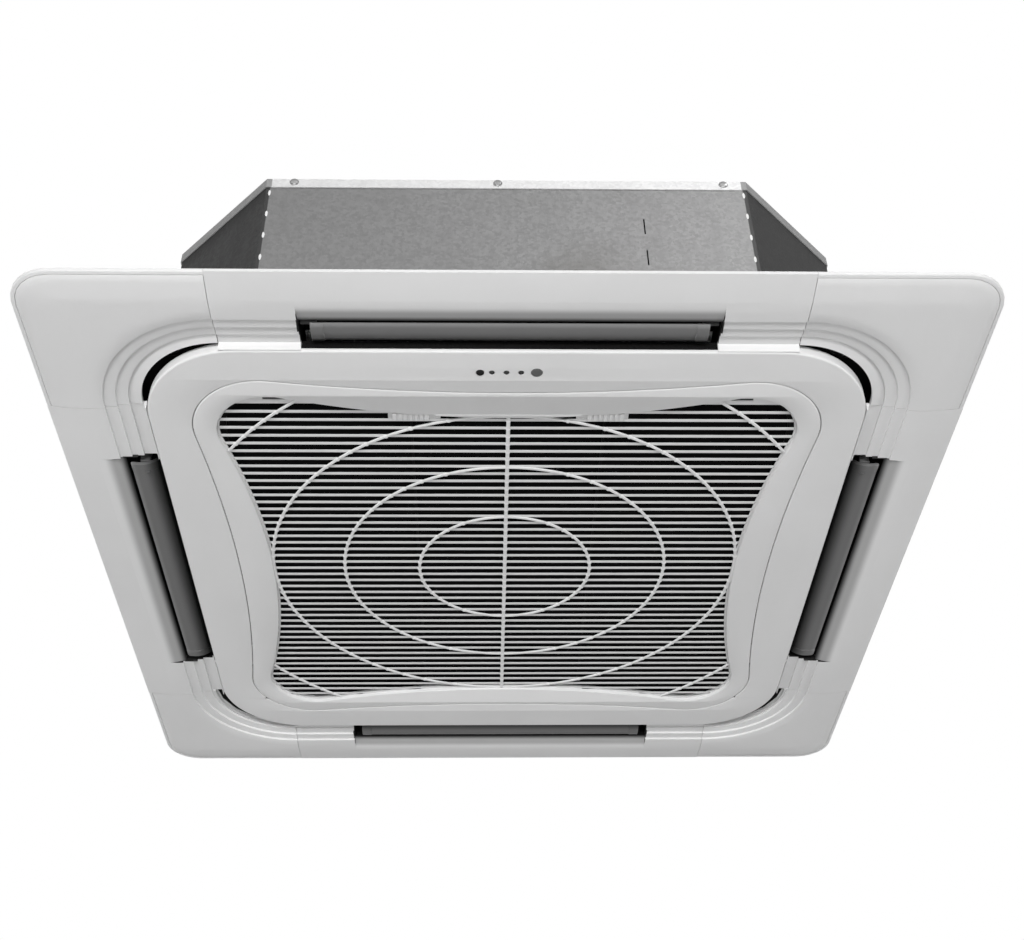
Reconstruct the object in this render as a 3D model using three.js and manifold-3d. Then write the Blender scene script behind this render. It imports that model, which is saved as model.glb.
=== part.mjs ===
// Ceiling cassette air conditioner: square panel with four louvres, hinged intake grille and the
// steel casing above it with coil, turbo fan, drain pan and pump.
// Millimetres, +Z up. Origin: centre of the panel on the ceiling plane, where the panel rim rests.
// The panel hangs below z = 0 and the casing stands above it; the display is on the -Y side ("near").
import * as THREE from 'three';
import { mergeVertices } from 'three/addons/utils/BufferGeometryUtils.js';
import Module from 'manifold-3d';

const wasm = await Module();
wasm.setup();

// ---------------------------------------------------------------- driving dimensions
// Fits
const seat = 0.3; // between faces that touch
const runClearance = 0.5; // round moving shafts and sliders
const overlap = 1; // how far joined solids run into each other

// Panel frame
const panelSize = 990;
const panelCornerRadius = 45;
const rimDepth = 3.8;
const rimWall = 3.5;
const panelDepth = 8;
const panelWall = 3;
const borderWidth = 49; // from the panel's edge to the coffer
const cofferCornerRadius = 146; // turns about the corner seams' crossing
const seamGap = 0.6;

// Coffer: shallow steps that rise from the face towards the centre frame
const treadWidth = 13;
const treadCount = 3;
const firstRise = 0.8; // the first tread slopes up by this, the others are flat
const stepRise = 2.7;
const troughWidth = 18.1;
const troughGap = 0.7;
const innerLipEdge = 0.8; // the lip that drops from the trough beside the centre frame
const innerLipSlope = 2.6;
const innerLipDrop = 8.1;
const cornerSlotWidth = 10;

// Structure behind the panel
const pocketWallInset = 42.6; // from the coffer edge to the middle of the wall round the corner pockets
const pocketWall = 4;
const pocketWallTop = 34;
const pocketLidWall = 3;
const pocketLidInset = 18.2; // from the casing's chamfer in to the lid's inner edge
const rodHoleRadius = 18;
const bridgeBottom = 5;
const bridgeWall = 3;
const bridgeWidth = 78;
const bridgeReach = 15; // how far a bridge runs past the corner seam
const bossRadius = 7;
const panelScrewHoleRadius = 2.8;
const panelScrewReach = 73.8; // panel screw, outwards from the casing's chamfer

// Outlets and louvres
const outletLength = 430;
const lipWidth = 15;
const lipRise = 5.4;
const lipWall = 2.5;
const lipFillet = 12; // how far the lip's curve starts before the coffer's edge
const lipSteps = 4;
const ductWall = 4;
const ductShoulder = 17;
const ductThroatInset = 16;
const ductThroatWidth = 52;
const ductInnerSkirt = 1.5;
const ductInnerSkirtBottom = -4;
const louvreEndGap = 12;
const louvreWall = 2.4;
const louvreEdgeGap = 6.2;
const louvreWidth = 31.8;
const louvreEdgeDrop = 0.5; // outer edge below the lip's top
const louvreCamber = 4.6;
const louvreRise = 8;
const louvreSteps = 5;
const louvreEndBlock = 13;
const louvreBlockProud = 0.8;
const louvreArm = 4;
const louvrePivotInset = 22; // from the lip's inner edge
const louvrePivotHeight = 14.5;
const louvrePivotRadius = 2.5;
const louvreBossRadius = 5.5;
const louvreMotorRadius = 10;
const louvreMotorLength = 19;
const louvreBearingRadius = 7;
const louvreBearingLength = 7;
const couplingDepth = 7;

// Centre frame and intake grille
const centreWall = 3;
const centreEdgeRound = 5;
const centreWallTop = 4;
const tabHeight = 3;
const tabReach = 11;
const tabInset = 8;
const grilleGap = 1.5;
const grilleMargin = 44.9; // centre frame round the grille's lobes
const grilleCornerRadius = 80;
const grilleFlare = 7.6; // degrees that each side leans out where it meets a corner
const grilleBorder = 25; // grille border round the opening's lobes
const openingCornerRadius = 60;
const openingFlare = 14.5;
const grilleWall = 3;
const grilleBevel = 1.5;
const collarWall = 2.4;
const collarTop = 2.2;
const slatPitch = 13.23;
const slatFront = 4.4;
const slatBack = 2;
const slatDepth = 1.4;
const slatRecess = 4.8;
const ringRadii = [105.6, 198, 285.4, 384.7];
const ringWidth = 3.2;
const ringDepth = 1.8;
const slatRim = 2;
const spineWidth = 4.2;
const fillerDepth = 16; // filler plates close the ends of the near lobes
const fillerWall = 2;
const fillerSlotInset = 7;
const fillerSlotSize = [24, 3.4];

// Grille hinge and latches
const hingeInset = 36; // from the grille's reach in to the axis
const hingeHeight = -4.7;
const hingePinRadius = 1.5;
const hingePinInset = 30;
const hingePinLength = 29.4;
const knuckleWidth = 14;
const knuckleDepth = 10;
const knuckleTop = -0.8;
const hingeLugWidth = 10.5;
const latchAt = 106;
const latchTravel = 7;
const knobSize = [40, 11];
const knobInset = 32.5;
const knobTop = -3.6;
const knobBottom = -7.2;
const knobGrooves = 6;
const knobGrooveWidth = 2.4;
const knobGrooveDepth = 1.2;
const guideWall = 2;
const latchNeck = 6;
const boltWidth = 12;
const boltWall = 2;
const boltReach = 39;

// Filter
const filterLap = 1; // filter past the opening's lobes
const filterCornerRadius = 62;
const filterBar = 9;
const filterHeight = 5;
const filterRibs = 2;
const filterRibWidth = 3;
const filterMeshWall = 0.8;

// Display row
const displayInset = 30.9;
const buttonX = -31;
const buttonRadius = 4;
const buttonProud = 0.8;
const buttonTravel = 1;
const buttonFlange = 1.5;
const ledX = [-18.7, -3.3, 12.1];
const ledRadius = 2.8;
const windowX = 28.5;
const windowRadius = 6;
const windowProud = 0.3;
const fitClearance = 0.4;
const boardSize = [92, 26];
const boardWall = 1.6;
const boardHeight = 0.5;
const boardPost = 4;
const switchSize = 6;

// Casing
const casingInset = 56; // from the coffer's edge in to the casing
const casingChamfer = 115;
const casingBottom = 35;
const casingTop = 263.5;
const casingWall = 1.2;
const lidWall = 1.2;
const lidFlange = 14;
const lidRib = [150, 14, 2]; // length, width and height of the stiffening ribs pressed in the top
const lidRibFrom = 140;
const slitX = 153;
const slitWidth = 1.6;
const slitHeights = [[124, 149], [175, 201]];
const linerWall = 12;
const linerBottom = 92;

// Hanging brackets
const bracketWidth = 60;
const bracketWall = 3;
const bracketTop = 118;
const earHeight = 84;
const earReach = 62;
const earWidth = 46;
const rodSlotWidth = 12;
const rodSlotLength = 30;
const footReach = 88;
const footWidth = 30;

// Coil, drain pan and bellmouth
const coilGap = 24; // air space between the coil and the outlet channels
const coilThickness = 46;
const coilCornerRadius = 60;
const coilTop = 245;
const coilOpenEnd = 56; // how far the coil's open corner is cut back
const panTop = 88;
const panHoleInset = 16;
const panHoleRadius = 60;
const panLedge = 10;
const ledgeHeight = 60;
const gutterDepth = 12;
const gutterWidth = 26;
const panOutletShort = 30;
const sumpGap = 1;
const sumpSize = 61;
const sumpBottom = 50;
const sumpWall = 5;
const bellmouthWall = 2.5;
const bellmouthGap = 10; // inside the fan's inlet
const bellmouthFlare = 45;
const bellmouthTop = 96;

// Turbo fan
const fanGap = 32; // between the fan and the coil
const fanBackHeight = 190;
const fanWall = 2.5;
const fanShroudWidth = 50;
const fanInletHeight = 92;
const fanRimHeight = 122;
const fanBladeCount = 7;
const bladeOverhang = 42; // how far the blades reach inside the inlet
const bladeSweep = 38; // degrees that the trailing edge lags behind the leading edge
const bladeThickness = 9;
const hubRadius = 22;
const hubBottom = 150;
const hubTop = 165;
const shaftRadius = 6;
const shaftFrom = 136;
const shaftTo = 250;
const fanNutHeight = 9;
const fanNutRadius = 11;
const motorRadius = 70;
const motorBottom = 206;
const motorNeckBottom = 196;
const motorNeckRadius = 20;
const motorFlangeRadius = 88;
const motorFlangeWall = 4;

// Pipes, drain and electrics
const pipeSpread = 44;
const pipeHeight = 190;
const pipeProud = 46;
const gasPipeRadius = 7.9;
const liquidPipeRadius = 4.75;
const gasNutRadius = 16;
const liquidNutRadius = 12;
const flareNutLength = 18;
const pumpInset = 31; // from the sump's corner
const pumpRadius = 27;
const pumpBottom = 96;
const pumpTop = 172;
const pumpIntakeRadius = 9;
const pumpIntakeFoot = 5;
const drainHeight = 215;
const drainPipeRadius = 10;
const drainOutletRadius = 16;
const drainOutletBore = 12.5;
const drainOutletProud = 40;
const drainFlangeRadius = 25;
const floatInset = [51, 8];
const floatRadius = 8;
const floatHeight = 14;
const floatTravel = 15;
const floatStemRadius = 3;
const floatBottom = 58;
const controlBoxSize = [240, 64];
const controlBoxInset = 36;
const controlBoxBottom = 17.5;
const controlBoxWall = 2;
const controlCoverWall = 1.5;
const glandY = 150;
const glandHeight = 150;
const glandRadius = 8.5;
const glandBore = 4.5;
const glandNutRadius = 13;
const glandLength = 20;

// Facets
const cornerSteps = 5;
const sideSteps = 4;
const roundSteps = 20;
const smallSteps = 8;

// ---------------------------------------------------------------- values that follow
const quarterTurn = Math.PI / 2;
const sideNames = ['far', 'left', 'near', 'right'];
const cornerNames = ['far_right', 'far_left', 'near_left', 'near_right'];
const panelHalf = panelSize / 2;
const faceZ = -panelDepth;
const faceBack = faceZ + panelWall;
const cofferHalf = panelHalf - borderWidth;
const seamAt = cofferHalf - cofferCornerRadius;
const troughHalf = cofferHalf - treadCount * treadWidth;
const troughZ = faceZ + firstRise + treadCount * stepRise;
const troughBack = troughZ + panelWall;
const centreFrameHalf = troughHalf - troughWidth;
const troughInner = centreFrameHalf + troughGap;
const coverInner = centreFrameHalf + cornerSlotWidth;
const pocketWallHalf = cofferHalf - pocketWallInset;

const outletHalf = outletLength / 2;
const lipInner = cofferHalf - lipWidth;
const lipTop = faceZ + lipRise;
const louvreLength = outletLength - 2 * louvreEndGap;
const louvrePivotOffset = lipInner - louvrePivotInset;

const grilleCornerCentre = centreFrameHalf - grilleMargin - grilleCornerRadius;
const grilleReach = grilleCornerCentre + grilleCornerRadius;
const openingHalf = grilleReach - grilleBorder;
const openingCornerCentre = openingHalf - openingCornerRadius;
const hingeY = grilleReach - hingeInset;
const hingePinFrom = grilleReach - hingePinInset;
const hingeLugFrom = hingePinFrom + hingePinLength - hingeLugWidth;
const knobY = knobInset - openingHalf;
const boltEnd = knobY - boltReach;
const filterHalf = openingHalf + filterLap;
const displayY = displayInset - centreFrameHalf;

const casingHalf = cofferHalf - casingInset;
const casingInner = casingHalf - casingWall;
const chamferDistance = (2 * casingHalf - casingChamfer) / Math.SQRT2;
const panelScrewDiagonal = chamferDistance + panelScrewReach;
const ductThroatOuter = casingHalf - ductThroatInset;
const ductThroatInner = ductThroatOuter - ductThroatWidth;
const coilInner = ductThroatInner - coilGap - coilThickness;
const coilCornerCentre = coilInner - coilCornerRadius;
const coilNotch = coilInner - coilOpenEnd;
const panHoleHalf = coilInner - panHoleInset;
const panOutletLength = outletLength - panOutletShort;
const sumpFrom = coilNotch + sumpGap;
const sumpTo = sumpFrom + sumpSize;
const pumpAt = [sumpFrom + pumpInset, sumpFrom + pumpInset];
const floatAt = floatInset.map((inset) => sumpFrom + inset);
const fanRadius = coilInner - fanGap;
const fanInletRadius = fanRadius - fanShroudWidth;
const bladeInner = fanInletRadius - bladeOverhang;
const bellmouthThroat = fanInletRadius - bellmouthGap;
const controlBoxY = controlBoxInset - panHoleHalf;

// ---------------------------------------------------------------- outlines
const point = (x, y) => new THREE.Vector2(x, y);

function arc(centreX, centreY, radius, fromAngle, toAngle, steps) {
  const points = [];
  for (let step = 0; step <= steps; step += 1) {
    const angle = fromAngle + (toAngle - fromAngle) * step / steps;
    points.push(point(centreX + radius * Math.cos(angle), centreY + radius * Math.sin(angle)));
  }
  return points;
}

function roundedSquare(half, radius, steps = cornerSteps) {
  const centre = half - radius;
  return [0, 1, 2, 3].flatMap((corner) => {
    const x = corner === 0 || corner === 3 ? centre : -centre;
    const y = corner < 2 ? centre : -centre;
    return arc(x, y, radius, corner * quarterTurn, (corner + 1) * quarterTurn, steps);
  });
}

// A square with round lobes at its corners and sides that bow in towards the centre.
// Growing the radius moves the whole outline out by the same distance.
function waistedSquare(cornerCentre, radius, flareDegrees) {
  const flare = THREE.MathUtils.degToRad(flareDegrees);
  const sideRadius = cornerCentre / Math.sin(flare) - radius;
  const sideCentre = cornerCentre + cornerCentre / Math.tan(flare);
  const quarter = [
    ...arc(cornerCentre, cornerCentre, radius, -flare, quarterTurn + flare, cornerSteps),
    ...arc(0, sideCentre, sideRadius, flare - quarterTurn, -flare - quarterTurn, sideSteps).slice(1, -1),
  ];
  return [0, 1, 2, 3].flatMap((corner) =>
    quarter.map((p) => p.clone().rotateAround(point(0, 0), corner * quarterTurn)));
}

function octagon(half, chamfer) {
  const flat = half - chamfer;
  return [0, 1, 2, 3].flatMap((corner) =>
    [point(half, flat), point(flat, half)].map((p) => p.rotateAround(point(0, 0), corner * quarterTurn)));
}

// The casing's octagon moved in or out, with its chamfers moved by the same distance.
const casingOctagon = (grow) => octagon(casingHalf + grow, casingChamfer + grow * (2 - Math.SQRT2));

// ---------------------------------------------------------------- closed geometries
function prism(outline, bottom, top, holes = []) {
  const shape = new THREE.Shape(outline);
  shape.holes = holes.map((hole) => new THREE.Path(hole));
  const geometry = new THREE.ExtrudeGeometry(shape, { depth: top - bottom, bevelEnabled: false });
  return geometry.translate(0, 0, bottom);
}

function box(fromX, toX, fromY, toY, fromZ, toZ) {
  const geometry = new THREE.BoxGeometry(toX - fromX, toY - fromY, toZ - fromZ);
  return geometry.translate((fromX + toX) / 2, (fromY + toY) / 2, (fromZ + toZ) / 2);
}

function cylinder(radius, bottom, top, x = 0, y = 0, steps = smallSteps) {
  const geometry = new THREE.CylinderGeometry(radius, radius, top - bottom, steps);
  return geometry.rotateX(quarterTurn).translate(x, y, (bottom + top) / 2);
}

// A section drawn in (Y, Z) and run along X.
function alongX(section, fromX, toX) {
  const basis = new THREE.Matrix4().makeBasis(
    new THREE.Vector3(0, 1, 0), new THREE.Vector3(0, 0, 1), new THREE.Vector3(1, 0, 0));
  return prism(section.map(([y, z]) => point(y, z)), fromX, toX).applyMatrix4(basis);
}

function rodAlongX(radius, fromX, toX, y, z, steps = smallSteps) {
  const geometry = new THREE.CylinderGeometry(radius, radius, toX - fromX, steps);
  return geometry.rotateZ(quarterTurn).translate((fromX + toX) / 2, y, z);
}

// A section drawn in (radius, Z), counterclockwise, turned about Z.
function revolve(section, steps = roundSteps) {
  const closed = [...section, section[0]].map(([radius, z]) => point(radius, z));
  return new THREE.LatheGeometry(closed, steps).rotateX(quarterTurn);
}

// A section drawn in (distance from centre, Z), counterclockwise, run round a square whose
// corners turn about (cornerCentre, cornerCentre): a lathe with its quadrants moved apart.
function runRoundSquare(section, cornerCentre, steps = cornerSteps) {
  const columns = 4 * (steps + 1);
  const positions = [];
  const triangles = [];
  for (let column = 0; column < columns; column += 1) {
    const corner = Math.floor(column / (steps + 1));
    const angle = (corner + (column % (steps + 1)) / steps) * quarterTurn;
    const centreX = corner === 0 || corner === 3 ? cornerCentre : -cornerCentre;
    const centreY = corner < 2 ? cornerCentre : -cornerCentre;
    section.forEach(([distance, z], row) => {
      const radius = distance - cornerCentre;
      positions.push(centreX + radius * Math.cos(angle), centreY + radius * Math.sin(angle), z);
      const here = column * section.length + row;
      const above = column * section.length + (row + 1) % section.length;
      const next = ((column + 1) % columns) * section.length + row;
      const nextAbove = ((column + 1) % columns) * section.length + (row + 1) % section.length;
      triangles.push(here, next, nextAbove, here, nextAbove, above);
    });
  }
  const geometry = new THREE.BufferGeometry();
  geometry.setAttribute('position', new THREE.Float32BufferAttribute(positions, 3));
  return geometry.setIndex(triangles);
}

// Outlines with equal numbers of points, stacked at rising heights.
function stack(levels) {
  const count = levels[0].outline.length;
  const positions = levels.flatMap(({ outline, z }) => outline.flatMap((p) => [p.x, p.y, z]));
  const triangles = [];
  for (let level = 0; level < levels.length - 1; level += 1) {
    for (let index = 0; index < count; index += 1) {
      const here = level * count + index;
      const next = level * count + (index + 1) % count;
      triangles.push(here, next, next + count, here, next + count, here + count);
    }
  }
  const top = (levels.length - 1) * count;
  for (const [a, b, c] of THREE.ShapeUtils.triangulateShape(levels[0].outline, [])) {
    triangles.push(c, b, a);
  }
  for (const [a, b, c] of THREE.ShapeUtils.triangulateShape(levels.at(-1).outline, [])) {
    triangles.push(top + a, top + b, top + c);
  }
  const geometry = new THREE.BufferGeometry();
  geometry.setAttribute('position', new THREE.Float32BufferAttribute(positions, 3));
  return geometry.setIndex(triangles);
}

// ---------------------------------------------------------------- joining and cutting
function solidOf(geometry) {
  const bare = geometry.clone();
  bare.deleteAttribute('normal');
  bare.deleteAttribute('uv');
  const merged = mergeVertices(bare, 1e-4);
  return new wasm.Manifold(new wasm.Mesh({
    numProp: 3,
    vertProperties: new Float32Array(merged.attributes.position.array),
    triVerts: new Uint32Array(merged.index.array),
  }));
}

const join = (...geometries) => geometries.map(solidOf).reduce((whole, next) => whole.add(next));
const cut = (whole, ...geometries) => geometries.map(solidOf).reduce((left, next) => left.subtract(next), whole);
const aroundZ = (geometry, quarters) => geometry.clone().rotateZ(quarters * quarterTurn);
const onAllSides = (geometry) => [0, 1, 2, 3].map((quarters) => aroundZ(geometry, quarters));
const mirroredX = (makeGeometry) => [makeGeometry(1), makeGeometry(-1)];
const span = (a, b) => [Math.min(a, b), Math.max(a, b)];

function geometryOf(solid) {
  const mesh = solid.getMesh();
  const geometry = new THREE.BufferGeometry();
  geometry.setAttribute('position', new THREE.BufferAttribute(mesh.vertProperties, 3));
  geometry.setIndex(new THREE.BufferAttribute(mesh.triVerts, 1));
  return geometry;
}

// ---------------------------------------------------------------- materials
const finish = (color, roughness, metalness = 0) => new THREE.MeshStandardMaterial({ color, roughness, metalness });
const finishes = {
  panel: finish('#d3d4d5', 0.5),
  grille: finish('#cfd0d1', 0.45),
  louvre: finish('#55575b', 0.5),
  knob: finish('#b9babc', 0.5),
  blackFoam: finish('#17181a', 0.9),
  whiteFoam: finish('#e9e9e6', 0.85),
  galvanised: finish('#8d9093', 0.45, 0.85),
  steel: finish('#a3a6a8', 0.35, 0.9),
  copper: finish('#b4694a', 0.35, 0.9),
  brass: finish('#b59a57', 0.35, 0.9),
  aluminium: finish('#a9adb0', 0.4, 0.8),
  darkPlastic: finish('#2a2c2e', 0.55),
  greyPlastic: finish('#8b8d8f', 0.55),
  board: finish('#2f5a3c', 0.6),
  lens: finish('#3a3633', 0.2),
  filter: finish('#3d4145', 0.8),
};

const cassette = new THREE.Group();
cassette.name = 'ceiling_cassette';

function addPiece(name, solid, material, quarters = 0) {
  const mesh = new THREE.Mesh(solid.isBufferGeometry ? solid : geometryOf(solid), material);
  mesh.name = name;
  mesh.rotation.z = quarters * quarterTurn;
  cassette.add(mesh);
}

// ---------------------------------------------------------------- panel mouldings
// The border slopes down from the rim to a flat part, and the coffer steps up from there.
const rimCentre = panelHalf - panelCornerRadius;
const slopeFoot = rimCentre + panelCornerRadius / 4;
const borderSlope = (panelDepth - rimDepth) / (panelHalf - slopeFoot);
const borderFront = (distance) => faceZ + Math.max(0, distance - slopeFoot) * borderSlope;

// Rim, border and stepped coffer as one shell, before the seams and outlets are cut.
function panelShell(innerEdge) {
  const rim = runRoundSquare([
    [panelHalf, 0],
    [panelHalf - rimWall, 0],
    [panelHalf - rimWall, borderFront(panelHalf - rimWall) + panelWall],
    [slopeFoot, faceBack],
    [slopeFoot - overlap, faceBack],
    [slopeFoot - overlap, faceZ],
    [slopeFoot, faceZ],
    [panelHalf, -rimDepth],
  ], rimCentre);
  const flat = prism(roundedSquare(slopeFoot, slopeFoot - rimCentre), faceZ, faceBack,
    [roundedSquare(cofferHalf, cofferHalf - seamAt)]);
  const back = [
    [cofferHalf + overlap, faceBack],
    [troughHalf + panelWall, troughBack],
    [innerEdge, troughBack],
  ];
  const front = [[cofferHalf + overlap, faceZ], [cofferHalf, faceZ]];
  for (let tread = 0; tread < treadCount + 1; tread += 1) {
    const from = cofferHalf - tread * treadWidth;
    const to = tread < treadCount ? from - treadWidth : innerEdge;
    const height = faceZ + firstRise + tread * stepRise;
    if (tread > 0) front.push([from, height]);
    front.push([to, height]);
  }
  const coffer = runRoundSquare([...back, ...front.reverse()], seamAt);
  return join(rim, flat, coffer);
}

// The square of panel beyond the seams of the far right corner.
const cornerBlock = (gap, bottom, top) =>
  box(seamAt + gap, panelHalf + overlap, seamAt + gap, panelHalf + overlap, bottom, top);

function panelFrame() {
  const lipFrom = cofferHalf + lipFillet;
  const outlet = box(-outletHalf, outletHalf, 0, lipFrom, faceZ - overlap, troughBack + overlap);
  const lipFront = Array.from({ length: lipSteps + 1 }, (_, step) => {
    const t = step / lipSteps;
    return [lipFrom + (lipInner - lipFrom) * t, faceZ + lipRise * t ** 3];
  });
  const lip = alongX([
    [lipFrom + overlap, faceZ],
    [lipFrom + overlap, faceBack],
    ...lipFront.map(([distance, z]) => [distance, Math.max(faceBack, z + lipWall)]),
    ...lipFront.reverse(),
  ], -outletHalf - overlap / 2, outletHalf + overlap / 2);
  const innerLip = runRoundSquare([
    [troughInner + innerLipEdge + innerLipSlope, troughZ],
    [troughInner + innerLipEdge + innerLipSlope, troughZ + overlap],
    [troughInner, troughZ + overlap],
    [troughInner, troughZ - innerLipDrop],
    [troughInner + innerLipEdge, troughZ - innerLipDrop],
  ], seamAt);
  const belowCorner = cornerBlock(-seamGap / 2, faceZ - overlap, troughBack + seat);
  const pocketWallRing = runRoundSquare([
    [pocketWallHalf + pocketWall / 2, troughBack - overlap],
    [pocketWallHalf + pocketWall / 2, pocketWallTop],
    [pocketWallHalf - pocketWall / 2, pocketWallTop],
    [pocketWallHalf - pocketWall / 2, troughBack - overlap],
  ], seamAt);
  const ductHalf = outletHalf + ductWall + louvreMotorLength + 3 * seat;
  const ductPassage = box(-ductHalf, ductHalf, 0, panelHalf, troughBack - 2 * overlap, pocketWallTop + overlap);
  const pocketWalls = cut(solidOf(pocketWallRing), ...onAllSides(ductPassage), ...onAllSides(belowCorner));

  // Bridges carry the frame round behind the removable corner covers.
  const bridgeOuter = pocketWallHalf + bridgeWidth;
  const bridgeRing = runRoundSquare([
    [bridgeOuter, bridgeBottom],
    [bridgeOuter, bridgeBottom + bridgeWall],
    [pocketWallHalf, bridgeBottom + bridgeWall],
    [pocketWallHalf, bridgeBottom],
  ], seamAt);
  const bridgeFootRing = runRoundSquare([
    [bridgeOuter, borderFront(bridgeOuter) + panelWall / 2],
    [bridgeOuter, bridgeBottom + overlap],
    [cofferHalf + 2 * overlap, bridgeBottom + overlap],
    [cofferHalf + 2 * overlap, faceZ + panelWall / 2],
    [slopeFoot, faceZ + panelWall / 2],
  ], seamAt);
  const bridgeFrom = seamAt - bridgeReach;
  const cornerBox = box(bridgeFrom, panelHalf, bridgeFrom, panelHalf, faceZ, casingBottom);
  const footWall = box(bridgeFrom, bridgeFrom + bridgeWall, bridgeFrom, panelHalf, faceZ, casingBottom);
  const footWallAcross = box(bridgeFrom, panelHalf, bridgeFrom, bridgeFrom + bridgeWall, faceZ, casingBottom);
  const lidReach = (chamferDistance - pocketLidInset) * Math.SQRT2;
  const lidCut = prism([point(-panelSize, -panelSize), point(lidReach + panelSize, -panelSize),
    point(-panelSize, lidReach + panelSize)], 0, casingBottom);
  const lidPlate = prism(roundedSquare(pocketWallHalf, pocketWallHalf - seamAt),
    pocketWallTop - pocketLidWall, pocketWallTop);
  const rodAt = (chamferDistance + earReach - rodSlotLength + rodSlotWidth / 2) / Math.SQRT2;
  const bossAt = panelScrewDiagonal / Math.SQRT2;
  const screwHole = cylinder(panelScrewHoleRadius, 0, casingBottom + overlap, bossAt, bossAt);
  let frame = panelShell(troughInner).add(solidOf(innerLip));
  frame = cut(frame, ...onAllSides(outlet), ...onAllSides(belowCorner));
  frame = onAllSides(lip).map(solidOf).reduce((whole, next) => whole.add(next), frame);
  frame = frame.add(pocketWalls);
  for (let corner = 0; corner < 4; corner += 1) {
    const within = solidOf(aroundZ(cornerBox, corner));
    const feet = solidOf(bridgeFootRing).intersect(join(aroundZ(footWall, corner), aroundZ(footWallAcross, corner)));
    const lidQuarter = solidOf(aroundZ(box(0, panelHalf, 0, panelHalf, 0, casingBottom), corner));
    const lid = solidOf(lidPlate).intersect(lidQuarter).subtract(solidOf(aroundZ(lidCut, corner)))
      .subtract(solidOf(aroundZ(cylinder(rodHoleRadius, 0, casingBottom, rodAt, rodAt), corner)));
    frame = frame.add(solidOf(bridgeRing).intersect(within)).add(feet).add(lid)
      .add(solidOf(aroundZ(cylinder(bossRadius, bridgeBottom, casingBottom, bossAt, bossAt), corner)))
      .subtract(solidOf(aroundZ(screwHole, corner)));
  }
  return frame;
}

function cornerCover() {
  const postTo = cofferHalf + 2 * bossRadius;
  const post = box(cofferHalf + bossRadius, postTo, cofferHalf + bossRadius, postTo, faceBack - overlap,
    bridgeBottom - seat);
  const shell = panelShell(coverInner).intersect(solidOf(cornerBlock(seamGap / 2, faceZ - overlap, overlap)));
  return shell.add(solidOf(post));
}

// ---------------------------------------------------------------- outlets
function outletDuct() {
  const top = casingBottom + seat;
  const base = centreWallTop + seat;
  const ductOuter = ductThroatOuter + ductWall + overlap;
  const innerFoot = centreFrameHalf - ductWall;
  const body = alongX([
    [innerFoot, base],
    [lipInner + ductWall, base],
    [lipInner + ductWall, ductShoulder + ductWall],
    [ductOuter, top],
    [ductThroatInner - ductWall, top],
  ], -outletHalf - ductWall, outletHalf + ductWall);
  const skirt = box(-outletHalf - ductWall, outletHalf + ductWall, lipInner, lipInner + ductWall,
    lipTop + lipWall + seat, base + overlap);
  const passage = alongX([
    [centreFrameHalf, base - 2 * overlap - lipRise],
    [lipInner + seat, base - 2 * overlap - lipRise],
    [lipInner + seat, ductShoulder],
    [ductThroatOuter, top + overlap],
    [ductThroatInner, top + overlap],
    [centreFrameHalf, base],
  ], -outletHalf - seat, outletHalf + seat);
  const pivotHole = rodAlongX(louvrePivotRadius + runClearance, -outletHalf - 2 * ductWall,
    outletHalf + 2 * ductWall, louvrePivotOffset, louvrePivotHeight);
  const innerSkirt = alongX([
    [centreFrameHalf + seat, ductInnerSkirtBottom],
    [centreFrameHalf + seat + ductInnerSkirt, ductInnerSkirtBottom],
    [centreFrameHalf + seat + ductInnerSkirt, base + overlap],
    [innerFoot + overlap, base + overlap],
    [innerFoot + overlap, base],
    [centreFrameHalf + seat, base],
  ], -outletHalf + seat, outletHalf - seat);
  return cut(join(body, skirt), passage, pivotHole).add(solidOf(innerSkirt));
}

// Cambered blade; its inner part curls up into the duct. Arms at the ends reach the pivot.
function louvre() {
  const edge = point(lipInner - louvreEdgeGap, lipTop - louvreEdgeDrop);
  const tip = point(edge.x - louvreWidth, edge.y + louvreRise);
  const control = point(tip.x + louvreWidth / 3, edge.y - louvreCamber);
  const curve = new THREE.QuadraticBezierCurve(edge, control, tip);
  const section = (below, above) => {
    const offset = (distance) => Array.from({ length: louvreSteps + 1 }, (_, step) => {
      const t = step / louvreSteps;
      const tangent = curve.getTangent(t);
      const at = curve.getPoint(t);
      return [at.x + tangent.y * distance, at.y - tangent.x * distance];
    });
    return [...offset(above), ...offset(-below).reverse()];
  };
  const end = louvreLength / 2;
  const blade = alongX(section(0, louvreWall), -end + overlap, end - overlap);
  const blocks = mirroredX((side) =>
    alongX(section(louvreBlockProud, louvreWall + louvreBlockProud), ...span(side * end, side * (end - louvreEndBlock))));
  const armRoot = curve.getPoint(0.45);
  const armTop = arc(louvrePivotOffset, louvrePivotHeight, louvreBossRadius, 0, Math.PI, 5).map((p) => [p.x, p.y]);
  const arms = mirroredX((side) => alongX([
    [armRoot.x - louvreBossRadius, armRoot.y + louvreWall],
    [armRoot.x + louvreBossRadius, armRoot.y + louvreWall],
    ...armTop,
  ], ...span(side * end, side * (end - louvreArm))));
  const stubEnd = outletHalf + ductWall + seat + couplingDepth - runClearance;
  const stubs = mirroredX((side) => rodAlongX(louvrePivotRadius, ...span(side * stubEnd, side * (end - overlap)),
    louvrePivotOffset, louvrePivotHeight));
  return join(blade, ...blocks, ...arms, ...stubs);
}

function pivotSocket(radius, length, side) {
  const from = outletHalf + ductWall + seat;
  const body = rodAlongX(radius, ...span(side * from, side * (from + length)), louvrePivotOffset, louvrePivotHeight);
  const bore = rodAlongX(louvrePivotRadius + runClearance, ...span(side * (from - overlap), side * (from + couplingDepth)),
    louvrePivotOffset, louvrePivotHeight);
  return cut(solidOf(body), bore);
}

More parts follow.
